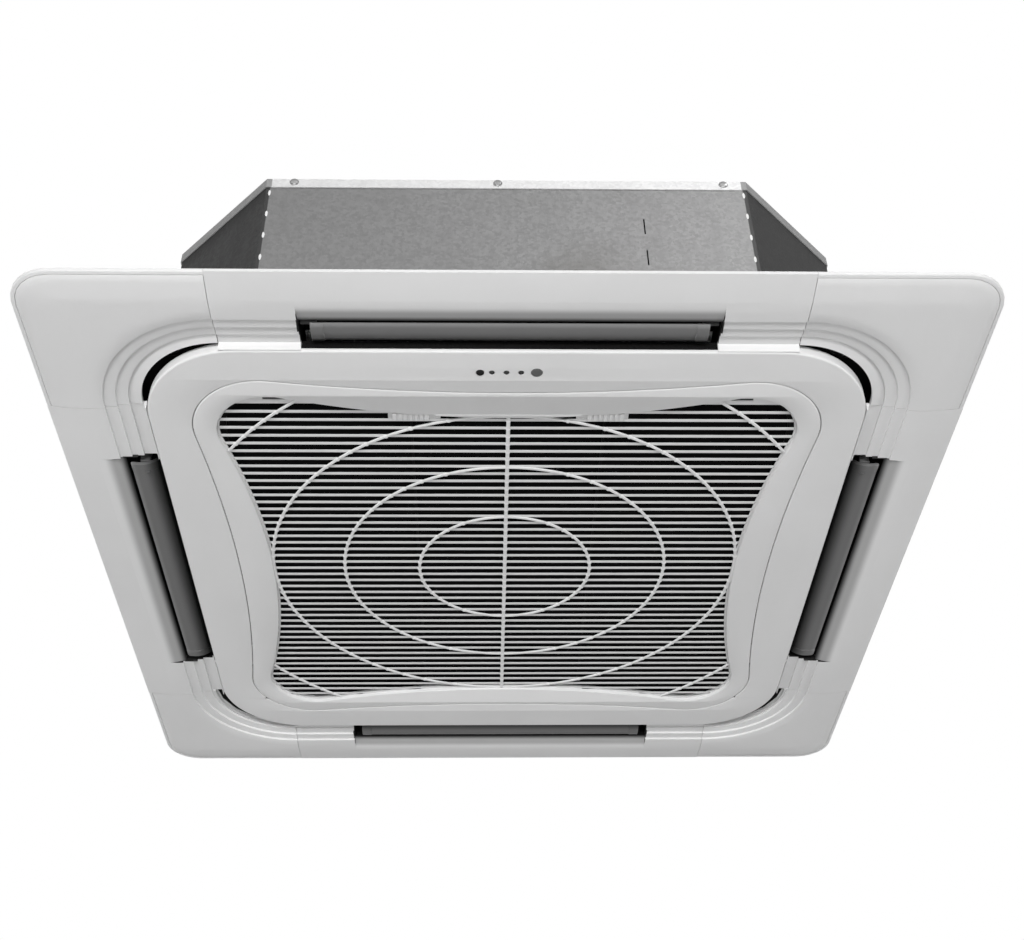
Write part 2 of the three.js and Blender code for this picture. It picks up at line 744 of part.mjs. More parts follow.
// ---------------------------------------------------------------- centre frame
const grilleOutline = (grow) => waistedSquare(grilleCornerCentre, grilleCornerRadius + grow, grilleFlare);
const openingOutline = (grow) => waistedSquare(openingCornerCentre, openingCornerRadius + grow, openingFlare);

function centreFrame() {
  const radius = centreFrameHalf - seamAt;
  const outline = (grow) => roundedSquare(centreFrameHalf + grow, radius + grow);
  const shell = stack([
    ...[0, 1, 2].map((step) => {
      const angle = step / 2 * quarterTurn;
      return {
        outline: outline(centreEdgeRound * (Math.sin(angle) - 1)),
        z: faceZ + centreEdgeRound * (1 - Math.cos(angle)),
      };
    }),
    { outline: outline(0), z: centreWallTop },
  ]);
  const hollow = prism(outline(-centreWall), faceBack, centreWallTop + overlap);
  const opening = prism(grilleOutline(grilleGap), faceZ - overlap, faceBack + overlap);
  const tabSection = [
    [centreFrameHalf - centreWall, centreWallTop - overlap],
    [centreFrameHalf, centreWallTop - overlap],
    [centreFrameHalf, troughBack + seat],
    [centreFrameHalf + tabReach, troughBack + seat],
    [centreFrameHalf + tabReach, troughBack + tabHeight],
    [centreFrameHalf - centreWall, troughBack + tabHeight],
  ];
  const tabs = mirroredX((side) => alongX(tabSection,
    ...span(side * (outletHalf + tabInset), side * (seamAt - tabInset)))).flatMap(onAllSides);
  const lugs = mirroredX((side) => box(
    ...span(side * hingeLugFrom, side * (hingePinFrom + hingePinLength)),
    hingeY - knuckleDepth / 2, hingeY + knuckleDepth / 2, faceBack - overlap, knuckleTop));
  const posts = [[-1, -1], [1, -1], [-1, 1], [1, 1]].map(([x, y]) => {
    const cornerX = x * (boardSize[0] - boardPost) / 2;
    const cornerY = displayY + y * (boardSize[1] - boardPost) / 2;
    return box(cornerX - boardPost / 2, cornerX + boardPost / 2, cornerY - boardPost / 2,
      cornerY + boardPost / 2, faceBack - overlap, boardHeight - seat);
  });
  const holes = [[buttonX, buttonRadius], [windowX, windowRadius], ...ledX.map((x) => [x, ledRadius])]
    .map(([x, holeRadius]) => cylinder(holeRadius + fitClearance, faceZ - overlap, faceBack + overlap, x, displayY));
  let frame = cut(solidOf(shell), hollow);
  frame = frame.add(join(...tabs, ...lugs, ...posts));
  return cut(frame, opening, ...mirroredX(hingePinHole), ...mirroredX(hingeRelief), ...holes);
}

// ---------------------------------------------------------------- intake grille
const slatZ = faceZ + slatRecess;
const slatTop = slatZ + slatDepth;
const openingReach = openingHalf + collarWall;
const fillerFrom = openingHalf - fillerDepth;
const fillerSlotAt = [openingCornerCentre - fillerSlotInset, openingHalf - fillerSlotInset];

function circle(radius, steps) {
  return arc(0, 0, radius, 0, 2 * Math.PI, steps).slice(0, -1);
}

// Front moulding: border, collar round the waisted opening, rings and spine across it.
function grilleFrame() {
  const border = stack([
    { outline: grilleOutline(-grilleBevel), z: faceZ },
    { outline: grilleOutline(0), z: faceZ + grilleBevel },
    { outline: grilleOutline(0), z: faceZ + grilleWall },
  ]);
  const collar = prism(openingOutline(collarWall), faceZ, collarTop);
  const opening = prism(openingOutline(0), faceZ - overlap, collarTop + overlap);
  const barBack = slatZ - seat;
  const rings = ringRadii.map((radius) => {
    const steps = Math.round(20 + radius / 24);
    return prism(circle(radius + ringWidth / 2, steps), barBack - ringDepth, barBack,
      [circle(radius - ringWidth / 2, steps)]);
  });
  const spine = box(-spineWidth / 2, spineWidth / 2, -openingReach, openingReach, barBack - ringDepth, barBack);
  const within = prism(openingOutline(collarWall / 2), faceZ, collarTop);
  const knuckles = mirroredX((side) => box(...span(side * hingePinFrom, side * (hingePinFrom + knuckleWidth)),
    hingeY - knuckleDepth / 2, hingeY + knuckleDepth / 2, faceBack - overlap, knuckleTop));
  const bars = join(...rings, spine).intersect(solidOf(within));
  const frame = cut(join(border, collar), opening).add(bars).add(join(...knuckles));
  return cut(frame, ...mirroredX(hingePinHole), ...mirroredX(latchPocket), ...mirroredX(boltNotch));
}

// Insert behind the rings: tapered slats in a rim, fillers in the near lobes, guides for the knobs.
function grilleSlats() {
  const plate = prism(openingOutline(-seat), slatZ, slatTop);
  const windowInRim = prism(openingOutline(-seat - slatRim), slatZ - overlap, slatTop + overlap);
  const slatCount = Math.floor(openingReach / slatPitch);
  const lean = (slatFront - slatBack) / 2 / slatDepth;
  const gaps = Array.from({ length: 2 * slatCount + 2 }, (_, index) => {
    const near = (index - slatCount - 1) * slatPitch;
    const frontEdge = slatFront / 2 + lean * overlap;
    const backEdge = slatBack / 2 - lean * overlap;
    return alongX([
      [near + frontEdge, slatZ - overlap],
      [near + slatPitch - frontEdge, slatZ - overlap],
      [near + slatPitch - backEdge, slatTop + overlap],
      [near + backEdge, slatTop + overlap],
    ], -openingReach, openingReach);
  });
  const fillers = box(-openingReach, openingReach, -openingReach, -fillerFrom, slatZ - overlap, slatZ + fillerWall);
  const fillerSlots = mirroredX((side) => box(side * fillerSlotAt[0] - fillerSlotSize[0] / 2,
    side * fillerSlotAt[0] + fillerSlotSize[0] / 2, -fillerSlotAt[1] - fillerSlotSize[1] / 2,
    -fillerSlotAt[1] + fillerSlotSize[1] / 2, slatZ - overlap, slatZ + fillerWall + overlap));
  const openings = join(...gaps).intersect(solidOf(windowInRim)).subtract(solidOf(fillers));
  const bars = cut(solidOf(plate).subtract(openings), ...fillerSlots, ...mirroredX(latchPocket));
  const within = prism(openingOutline(-seat - slatRim / 2), slatZ, slatTop);
  const guides = join(...mirroredX(latchGuide)).intersect(solidOf(within));
  return cut(bars.add(guides), ...mirroredX(latchNeckSlot), ...mirroredX(boltNotch));
}

// The pocket leaves room for the knob and its travel towards the spine.
function latchPocket(side) {
  const outer = latchAt + knobSize[0] / 2 + runClearance;
  const inner = latchAt - knobSize[0] / 2 - latchTravel - runClearance;
  return box(...span(side * inner, side * outer), knobY - knobSize[1] / 2 - runClearance,
    knobY + knobSize[1] / 2 + runClearance, faceZ - overlap, knobTop + seat);
}

function latchGuide(side) {
  const outer = latchAt + knobSize[0] / 2 + 2 * collarWall;
  const inner = latchAt - knobSize[0] / 2 - latchTravel - 2 * collarWall;
  return box(...span(side * inner, side * outer), knobY - knobSize[1] / 2 - 3 * collarWall,
    knobY + knobSize[1] / 2 + runClearance, knobTop + seat, knobTop + seat + guideWall);
}

function latchNeckSlot(side) {
  const outer = latchAt + latchNeck / 2 + runClearance;
  const inner = latchAt - latchNeck / 2 - latchTravel - runClearance;
  return box(...span(side * inner, side * outer), knobY - latchNeck / 2 - runClearance,
    knobY + latchNeck / 2 + runClearance, knobTop - overlap, collarTop + overlap);
}

function boltNotch(side) {
  const outer = latchAt + boltWidth / 2 + runClearance;
  const inner = latchAt - boltWidth / 2 - latchTravel - runClearance;
  return box(...span(side * inner, side * outer), boltEnd - 2 * overlap, knobY + latchNeck,
    knobTop + seat + guideWall, collarTop + overlap);
}

function grilleLatch(side) {
  const knob = box(side * latchAt - knobSize[0] / 2, side * latchAt + knobSize[0] / 2,
    knobY - knobSize[1] / 2, knobY + knobSize[1] / 2, knobBottom, knobTop);
  const groovePitch = knobSize[0] / (knobGrooves + 1);
  const grooves = Array.from({ length: knobGrooves }, (_, index) => {
    const x = side * latchAt - knobSize[0] / 2 + (index + 1) * groovePitch;
    return box(x - knobGrooveWidth / 2, x + knobGrooveWidth / 2, knobY - knobSize[1], knobY + knobSize[1],
      knobBottom - overlap, knobBottom + knobGrooveDepth);
  });
  const boltBottom = knobTop + seat + guideWall + seat;
  const neck = box(side * latchAt - latchNeck / 2, side * latchAt + latchNeck / 2, knobY - latchNeck / 2,
    knobY + latchNeck / 2, knobTop - overlap, boltBottom + overlap);
  const bolt = box(side * latchAt - boltWidth / 2, side * latchAt + boltWidth / 2, boltEnd,
    knobY + latchNeck / 2, boltBottom, boltBottom + boltWall);
  return cut(join(knob, neck, bolt), ...grooves);
}

const hingePin = (side) => rodAlongX(hingePinRadius,
  ...span(side * hingePinFrom, side * (hingePinFrom + hingePinLength)), hingeY, hingeHeight);
const hingePinHole = (side) => rodAlongX(hingePinRadius + seat,
  ...span(side * (hingePinFrom - seat), side * (hingePinFrom + hingePinLength + seat)), hingeY, hingeHeight);
// Room in the centre frame for the grille's edge beside the knuckle when the grille hangs open.
const hingeRelief = (side) => box(...span(side * hingePinFrom, side * hingeLugFrom),
  hingeY, hingeY + knuckleDepth / 2 + seat, faceZ - overlap, faceBack + overlap);

// ---------------------------------------------------------------- filter
const filterBottom = collarTop + seat;

function filterFrame() {
  const outer = prism(roundedSquare(filterHalf, filterCornerRadius), filterBottom, filterBottom + filterHeight,
    [roundedSquare(filterHalf - filterBar, filterCornerRadius - filterBar)]);
  const meshTop = filterBottom + filterHeight / 2;
  const pitch = 2 * filterHalf / (filterRibs + 1);
  const ribs = [];
  for (let index = 1; index <= filterRibs; index += 1) {
    const at = -filterHalf + index * pitch;
    ribs.push(box(at - filterRibWidth / 2, at + filterRibWidth / 2, overlap - filterHalf,
      filterHalf - overlap, filterBottom, meshTop));
    ribs.push(box(overlap - filterHalf, filterHalf - overlap, at - filterRibWidth / 2,
      at + filterRibWidth / 2, filterBottom, meshTop));
  }
  return join(outer, ...ribs);
}

function filterMesh() {
  const bottom = filterBottom + filterHeight / 2 + seat;
  return prism(roundedSquare(filterHalf - filterBar - seat, filterCornerRadius - filterBar - seat),
    bottom, bottom + filterMeshWall);
}

// ---------------------------------------------------------------- display row
function displayBoard() {
  const board = box(-boardSize[0] / 2, boardSize[0] / 2, displayY - boardSize[1] / 2,
    displayY + boardSize[1] / 2, boardHeight, boardHeight + boardWall);
  const switchBottom = buttonTop() + buttonTravel + seat;
  const switchBody = box(buttonX - switchSize / 2, buttonX + switchSize / 2, displayY - switchSize / 2,
    displayY + switchSize / 2, switchBottom, boardHeight + overlap);
  return join(board, switchBody);
}

const buttonTop = () => boardHeight - buttonTravel - 2;

function emergencyButton() {
  const stem = cylinder(buttonRadius, faceZ - buttonProud, buttonTop(), buttonX, displayY);
  const flange = cylinder(buttonRadius + buttonFlange, faceBack + seat, faceBack + seat + buttonFlange,
    buttonX, displayY);
  return join(stem, flange);
}

const statusLight = (x) => cylinder(ledRadius, faceZ, boardHeight - seat, x, displayY);
const receiverWindow = () => cylinder(windowRadius, faceZ - windowProud, boardHeight - seat, windowX, displayY);

// ---------------------------------------------------------------- casing
const alongDiagonal = (geometry) => geometry.rotateZ(quarterTurn / 2);

// A rod along the far right diagonal, at a sideways distance from it.
const diagonalRod = (radius, from, to, sideways, height) =>
  alongDiagonal(rodAlongX(radius, from, to, sideways, height));

const pipeHoles = () => [
  diagonalRod(gasPipeRadius + overlap, chamferDistance - 2 * linerWall, chamferDistance + linerWall,
    pipeSpread / 2, pipeHeight),
  diagonalRod(liquidPipeRadius + overlap, chamferDistance - 2 * linerWall, chamferDistance + linerWall,
    -pipeSpread / 2, pipeHeight),
  rodAlongX(drainOutletRadius + overlap, casingHalf - 2 * linerWall, casingHalf + linerWall,
    -pumpAt[0], drainHeight).rotateZ(quarterTurn),
  rodAlongX(glandRadius + fitClearance, casingHalf - 2 * linerWall, casingHalf + linerWall, glandY, glandHeight),
];

function casing() {
  const shell = prism(casingOctagon(0), casingBottom + 2 * seat, casingTop, [casingOctagon(-casingWall)]);
  const slits = slitHeights.map(([bottom, top]) =>
    box(slitX - slitWidth / 2, slitX + slitWidth / 2, -casingHalf - overlap, -casingInner + overlap / 2, bottom, top));
  return cut(solidOf(shell), ...slits, ...pipeHoles());
}

function topPlate() {
  const bottom = casingTop + seat;
  const flange = prism(casingOctagon(seat + lidWall), bottom + lidWall - lidFlange, bottom + lidWall,
    [casingOctagon(seat)]);
  const plate = prism(casingOctagon(seat + lidWall / 2), bottom, bottom + lidWall);
  const [ribLength, ribWidth, ribHeight] = lidRib;
  const ribs = onAllSides(alongDiagonal(box(lidRibFrom, lidRibFrom + ribLength, -ribWidth / 2, ribWidth / 2,
    bottom + lidWall - overlap / 2, bottom + lidWall + ribHeight)));
  const dome = cylinder(motorFlangeRadius, bottom + lidWall - overlap / 2, bottom + lidWall + ribHeight, 0, 0,
    roundSteps);
  return join(flange, plate, ...ribs, dome);
}

function foamLiner() {
  const liner = prism(casingOctagon(-casingWall - seat), linerBottom, casingTop - 1,
    [casingOctagon(-casingWall - seat - linerWall)]);
  return cut(solidOf(liner), ...pipeHoles());
}

function hangingBracket() {
  const face = chamferDistance + seat;
  const bottom = casingBottom + 1;
  const back = box(face, face + bracketWall, -bracketWidth / 2, bracketWidth / 2, bottom, bracketTop);
  const ear = box(face, face + earReach, -earWidth / 2, earWidth / 2, earHeight, earHeight + bracketWall);
  const foot = box(face, face + footReach, -footWidth / 2, footWidth / 2, bottom, bottom + bracketWall);
  const flangeSection = [[face, earHeight - earReach / 2], [face + earReach / 2, earHeight + overlap],
    [face, bracketTop]];
  const gussets = mirroredX((side) => prism(flangeSection.map(([x, z]) => point(x, z)),
    ...span(side * earWidth / 2, side * (earWidth / 2 - bracketWall))).rotateX(quarterTurn));
  const slot = box(face + earReach - rodSlotLength, face + earReach + overlap, -rodSlotWidth / 2,
    rodSlotWidth / 2, earHeight - overlap, earHeight + bracketWall + overlap);
  const slotEnd = cylinder(rodSlotWidth / 2, earHeight - overlap, earHeight + bracketWall + overlap,
    face + earReach - rodSlotLength, 0);
  const screwHole = cylinder(panelScrewHoleRadius + fitClearance, bottom - overlap, bottom + bracketWall + overlap,
    panelScrewDiagonal, 0);
  return cut(join(back, ear, foot, ...gussets), slot, slotEnd, screwHole);
}

// ---------------------------------------------------------------- coil, pan and bellmouth
const coilBottom = panTop + seat;
const cornerNotch = (from, bottom, top) => box(from, panelHalf, from, panelHalf, bottom, top);

function heatExchanger() {
  const outer = coilInner + coilThickness;
  const ring = runRoundSquare([[outer, coilBottom], [outer, coilTop], [coilInner, coilTop],
    [coilInner, coilBottom]], coilCornerCentre);
  return cut(solidOf(ring), cornerNotch(coilNotch, coilBottom - overlap, coilTop + overlap));
}

function drainPan() {
  const bottom = casingBottom + 2 * seat + 0.4;
  const slab = prism(casingOctagon(-casingWall - fitClearance), bottom, panTop);
  const besideSump = solidOf(cornerNotch(sumpFrom - sumpWall, bottom - 2 * overlap, panTop + 2 * overlap));
  const hole = prism(roundedSquare(panHoleHalf, panHoleRadius), bottom - overlap, panTop + overlap);
  const ledge = prism(roundedSquare(panHoleHalf + panLedge, panHoleRadius + panLedge), ledgeHeight - seat,
    panTop + overlap);
  const outlets = onAllSides(box(-panOutletLength / 2, panOutletLength / 2, ductThroatInner, ductThroatOuter,
    bottom - overlap, panTop + overlap));
  const gutterMiddle = coilInner + coilThickness / 2;
  const gutter = runRoundSquare([
    [gutterMiddle + gutterWidth / 2, panTop - gutterDepth],
    [gutterMiddle + gutterWidth / 2, panTop + overlap],
    [gutterMiddle - gutterWidth / 2, panTop + overlap],
    [gutterMiddle - gutterWidth / 2, panTop - gutterDepth],
  ], coilCornerCentre, 4);
  const sump = box(sumpFrom, sumpTo, sumpFrom, sumpTo, sumpBottom, panTop + overlap);
  return cut(solidOf(slab).subtract(join(hole, ledge).subtract(besideSump)), ...outlets, gutter, sump);
}

function bellmouth() {
  const flareRadius = bellmouthThroat + bellmouthFlare;
  const rise = bellmouthTop - ledgeHeight - bellmouthWall / 2;
  const steps = 3;
  const flare = (thickness) => Array.from({ length: steps + 1 }, (_, step) => {
    const angle = step / steps * quarterTurn;
    return [flareRadius - (bellmouthFlare - thickness) * Math.sin(angle),
      bellmouthTop - (rise - thickness) * Math.cos(angle)];
  });
  const horn = revolve([...flare(bellmouthWall), ...flare(0).reverse()]);
  const half = panHoleHalf + panLedge - fitClearance;
  const plate = prism(roundedSquare(half, panHoleRadius + panLedge - fitClearance), ledgeHeight,
    ledgeHeight + bellmouthWall, [circle(flareRadius - overlap, roundSteps)]);
  const sumpRelief = cornerNotch(sumpFrom - sumpWall - fitClearance, ledgeHeight - overlap,
    ledgeHeight + 2 * bellmouthWall);
  return cut(join(horn, plate), sumpRelief);
}

// ---------------------------------------------------------------- turbo fan
function turboFan() {
  const back = revolve([
    [shaftRadius + seat, hubBottom],
    [hubRadius, hubBottom],
    [hubRadius, hubTop - fanWall],
    [bladeInner * 0.3, hubTop - fanWall],
    [bladeInner * 0.7, fanBackHeight],
    [fanRadius, fanBackHeight],
    [fanRadius, fanBackHeight + fanWall],
    [bladeInner * 0.68, fanBackHeight + fanWall],
    [bladeInner * 0.29, hubTop],
    [shaftRadius + seat, hubTop],
  ]);
  const shroudPoints = new THREE.QuadraticBezierCurve(point(fanInletRadius, fanInletHeight),
    point(fanInletRadius + (fanRimHeight - fanInletHeight) / 4, fanRimHeight - (fanRimHeight - fanInletHeight) / 5),
    point(fanRadius, fanRimHeight)).getPoints(3);
  const shroud = revolve([
    ...shroudPoints.map((p) => [p.x + fanWall * 0.6, p.y - fanWall * 0.6]),
    ...shroudPoints.map((p) => [p.x - fanWall * 0.4, p.y + fanWall * 0.4]).reverse(),
  ]);
  const bladeBand = revolve([
    [0.01, fanInletHeight + bladeThickness],
    ...shroudPoints.slice(1).map((p) => [p.x, p.y]),
    [fanRadius, fanBackHeight + fanWall / 2],
    [0.01, fanBackHeight + fanWall / 2],
  ]);
  const blades = Array.from({ length: fanBladeCount }, (_, index) => {
    const turn = index * 2 * Math.PI / fanBladeCount;
    return prism(bladeOutline(), fanInletHeight, fanBackHeight + fanWall).rotateZ(turn);
  });
  return join(back, shroud).add(join(...blades).intersect(solidOf(bladeBand)));
}

// Backward-curved aerofoil: thick and round in front, thin at the rim.
function bladeOutline() {
  const steps = 5;
  const sweep = THREE.MathUtils.degToRad(bladeSweep);
  const centreLine = (t) => {
    const radius = bladeInner + (fanRadius - overlap - bladeInner) * t;
    const angle = sweep * t ** 0.8;
    return point(radius * Math.cos(angle), radius * Math.sin(angle));
  };
  const sides = [[], []];
  for (let step = 0; step <= steps; step += 1) {
    const t = step / steps;
    const ahead = centreLine(Math.min(t + 0.01, 1));
    const behind = centreLine(Math.max(t - 0.01, 0));
    const normal = ahead.sub(behind).normalize().rotateAround(point(0, 0), quarterTurn);
    const half = bladeThickness * (0.12 + 0.88 * Math.sqrt(Math.min(1, 4 * t + 0.02)) * (1 - t) ** 0.7) / 2;
    sides[0].push(centreLine(t).addScaledVector(normal, -half));
    sides[1].push(centreLine(t).addScaledVector(normal, half));
  }
  return [...sides[0], ...sides[1].reverse()];
}

const fanShaft = () => cylinder(shaftRadius, shaftFrom, shaftTo);

function fanNut() {
  const top = hubBottom - seat;
  return cut(solidOf(cylinder(fanNutRadius, top - fanNutHeight, top, 0, 0, 6)),
    cylinder(shaftRadius + seat, top - fanNutHeight - overlap, top + overlap));
}

function fanMotor() {
  const top = casingTop - 0.5;
  const bore = shaftRadius + runClearance;
  const well = shaftTo + 2;
  return solidOf(revolve([
    [bore, motorNeckBottom],
    [motorNeckRadius, motorNeckBottom],
    [motorNeckRadius, motorBottom],
    [motorRadius - 6, motorBottom],
    [motorRadius, motorBottom + 6],
    [motorRadius, top - motorFlangeWall],
    [motorFlangeRadius, top - motorFlangeWall],
    [motorFlangeRadius, top],
    [bore, top],
  ])).add(solidOf(cylinder(motorNeckRadius, well, top)));
}

// ---------------------------------------------------------------- pipes, drain and electrics
// From the open end of the coil round to the casing's far right chamfer and out through it.
function connectionPipe(radius, side) {
  const exit = (distance) => new THREE.Vector3(distance, side * pipeSpread / 2, pipeHeight)
    .applyAxisAngle(new THREE.Vector3(0, 0, 1), quarterTurn / 2);
  const coilMiddle = coilInner + coilThickness / 2;
  const start = coilNotch + seat;
  const fromCoil = side > 0
    ? [new THREE.Vector3(start, coilMiddle, pipeHeight), new THREE.Vector3(start + 3 * overlap, coilMiddle, pipeHeight)]
    : [new THREE.Vector3(coilMiddle, start, pipeHeight), new THREE.Vector3(coilMiddle, start + 3 * overlap, pipeHeight)];
  const elbow = new THREE.CatmullRomCurve3([...fromCoil, exit(chamferDistance - 50), exit(chamferDistance - 30)],
    false, 'centripetal');
  const path = new THREE.CurvePath();
  path.add(elbow);
  path.add(new THREE.LineCurve3(exit(chamferDistance - 30), exit(chamferDistance + pipeProud)));
  const section = new THREE.Shape(circle(radius, 10));
  return new THREE.ExtrudeGeometry(section, { extrudePath: path, steps: 10 });
}

function flareNut(radius, pipeRadius, side) {
  const end = chamferDistance + pipeProud;
  const sideways = side * pipeSpread / 2;
  const hexagon = alongDiagonal(rodAlongX(radius, end - flareNutLength, end, sideways, pipeHeight, 6));
  return cut(solidOf(hexagon), diagonalRod(pipeRadius + overlap, end - flareNutLength - overlap, end + overlap,
    sideways, pipeHeight));
}

function drainPump() {
  const [x, y] = pumpAt;
  const body = cylinder(pumpRadius, pumpBottom, pumpTop, x, y, roundSteps / 2);
  const intake = cylinder(pumpIntakeRadius, sumpBottom + pumpIntakeFoot, pumpBottom + overlap, x, y);
  const riser = cylinder(drainPipeRadius, pumpTop - overlap, drainHeight + drainPipeRadius, x, y);
  const outletEnd = casingInner - seat - linerWall - 2;
  const outlet = rodAlongX(drainPipeRadius, y, outletEnd, -x, drainHeight).rotateZ(quarterTurn);
  const [stemX, stemY] = floatAt;
  const arm = box(stemX - floatStemRadius - 2, stemX + floatStemRadius + 2, stemY - floatStemRadius, y,
    pumpBottom + 2, pumpBottom + 6);
  const stem = cylinder(floatStemRadius, floatBottom - 3, pumpBottom + 4, stemX, stemY);
  const stop = cylinder(floatStemRadius + 3, floatBottom - 4, floatBottom - seat, stemX, stemY);
  return join(body, intake, riser, outlet, arm, stem, stop);
}

function floatSwitch() {
  const [x, y] = floatAt;
  return cut(solidOf(cylinder(floatRadius, floatBottom, floatBottom + floatHeight, x, y)),
    cylinder(floatStemRadius + runClearance, floatBottom - overlap, floatBottom + floatHeight + overlap, x, y));
}

function drainOutlet() {
  const start = casingInner - seat - linerWall;
  const tube = rodAlongX(drainOutletRadius, start, casingHalf + drainOutletProud, -pumpAt[0], drainHeight);
  const flange = rodAlongX(drainFlangeRadius, casingHalf + seat, casingHalf + seat + bellmouthWall,
    -pumpAt[0], drainHeight);
  const bore = rodAlongX(drainOutletBore, start - overlap, casingHalf + drainOutletProud + overlap,
    -pumpAt[0], drainHeight);
  return cut(join(tube.rotateZ(quarterTurn), flange.rotateZ(quarterTurn)), bore.rotateZ(quarterTurn));
}

function controlBox() {
  const [length, width] = controlBoxSize;
  const top = ledgeHeight - seat;
  const outer = box(-length / 2, length / 2, controlBoxY - width / 2, controlBoxY + width / 2,
    controlBoxBottom, top);
  const inner = box(controlBoxWall - length / 2, length / 2 - controlBoxWall,
    controlBoxY - width / 2 + controlBoxWall, controlBoxY + width / 2 - controlBoxWall,
    controlBoxBottom - overlap, top - controlBoxWall);
  return cut(solidOf(outer), inner);
}

function controlBoxCover() {
  const [length, width] = controlBoxSize;
  const top = controlBoxBottom - seat;
  return box(-length / 2, length / 2, controlBoxY - width / 2, controlBoxY + width / 2,
    top - controlCoverWall, top);
}

function cableGland() {
  const start = casingInner - linerWall;
  const thread = rodAlongX(glandRadius, start, casingHalf + overlap, glandY, glandHeight);
  const nut = rodAlongX(glandNutRadius, casingHalf + seat, casingHalf + seat + glandLength / 2, glandY,
    glandHeight, 6);
  const dome = rodAlongX(glandRadius + overlap, casingHalf + seat, casingHalf + seat + glandLength, glandY, glandHeight);
  return cut(join(thread, nut, dome),
    rodAlongX(glandBore, start - overlap, casingHalf + glandLength + 2 * overlap, glandY, glandHeight));
}

// ---------------------------------------------------------------- assembly
addPiece('panel_frame', panelFrame(), finishes.panel);
const coverGeometry = geometryOf(cornerCover());
cornerNames.forEach((name, index) => addPiece(`corner_cover_${name}`, coverGeometry, finishes.panel, index));
addPiece('centre_frame', centreFrame(), finishes.panel);

const ductGeometry = geometryOf(outletDuct());
const louvreGeometry = geometryOf(louvre());
const louvreMotorGeometry = geometryOf(pivotSocket(louvreMotorRadius, louvreMotorLength, -1));
const louvreBearingGeometry = geometryOf(pivotSocket(louvreBearingRadius, louvreBearingLength + couplingDepth, 1));
sideNames.forEach((name, index) => {
  addPiece(`outlet_duct_${name}`, ductGeometry, finishes.blackFoam, index);
  addPiece(`louvre_${name}`, louvreGeometry, finishes.louvre, index);
  addPiece(`louvre_motor_${name}`, louvreMotorGeometry, finishes.darkPlastic, index);
  addPiece(`louvre_bearing_${name}`, louvreBearingGeometry, finishes.greyPlastic, index);
});

addPiece('grille_frame', grilleFrame(), finishes.grille);
addPiece('grille_slats', grilleSlats(), finishes.grille);
addPiece('grille_latch_left', grilleLatch(-1), finishes.knob);
addPiece('grille_latch_right', grilleLatch(1), finishes.knob);
addPiece('hinge_pin_left', hingePin(-1), finishes.steel);
addPiece('hinge_pin_right', hingePin(1), finishes.steel);
addPiece('filter_frame', filterFrame(), finishes.filter);
addPiece('filter_mesh', filterMesh(), finishes.filter);

addPiece('display_board', displayBoard(), finishes.board);
addPiece('emergency_button', emergencyButton(), finishes.darkPlastic);
ledX.forEach((x, index) => addPiece(`status_light_${index + 1}`, statusLight(x), finishes.lens));
addPiece('receiver_window', receiverWindow(), finishes.lens);

addPiece('casing', casing(), finishes.galvanised);
addPiece('top_plate', topPlate(), finishes.galvanised);
addPiece('foam_liner', foamLiner(), finishes.whiteFoam);
const bracketGeometry = geometryOf(hangingBracket());
bracketGeometry.rotateZ(quarterTurn / 2);
cornerNames.forEach((name, index) => addPiece(`hanging_bracket_${name}`, bracketGeometry, finishes.steel, index));
addPiece('heat_exchanger', heatExchanger(), finishes.aluminium);
addPiece('drain_pan', drainPan(), finishes.whiteFoam);
addPiece('bellmouth', bellmouth(), finishes.darkPlastic);

addPiece('turbo_fan', turboFan(), finishes.greyPlastic);
addPiece('fan_shaft', fanShaft(), finishes.steel);
addPiece('fan_nut', fanNut(), finishes.steel);
addPiece('fan_motor', fanMotor(), finishes.steel);

addPiece('gas_pipe', connectionPipe(gasPipeRadius, 1), finishes.copper);
addPiece('liquid_pipe', connectionPipe(liquidPipeRadius, -1), finishes.copper);
addPiece('gas_flare_nut', flareNut(gasNutRadius, gasPipeRadius, 1), finishes.brass);
addPiece('liquid_flare_nut', flareNut(liquidNutRadius, liquidPipeRadius, -1), finishes.brass);
addPiece('drain_pump', drainPump(), finishes.greyPlastic);
addPiece('float_switch', floatSwitch(), finishes.darkPlastic);
addPiece('drain_outlet', drainOutlet(), finishes.greyPlastic);
addPiece('control_box', controlBox(), finishes.galvanised);
addPiece('control_box_cover', controlBoxCover(), finishes.galvanised);
addPiece('cable_gland', cableGland(), finishes.darkPlastic);

export default cassette;
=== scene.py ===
# %% [markdown]
# # Ceiling cassette air conditioner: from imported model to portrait
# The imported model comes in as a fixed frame: one object for each solid, in metres, with +Z up.
# The origin is the middle of the panel on the ceiling plane and the display is on the -Y side.
# Solids whose shape is right keep it and get a finish. The moulded faces with long soft curves are
# made again here with more points, because the solids draw a corner with only a few flats.

# %% Load the frame
import math

import bmesh
import bpy
from mathutils import Matrix, Vector
from mathutils.geometry import tessellate_polygon


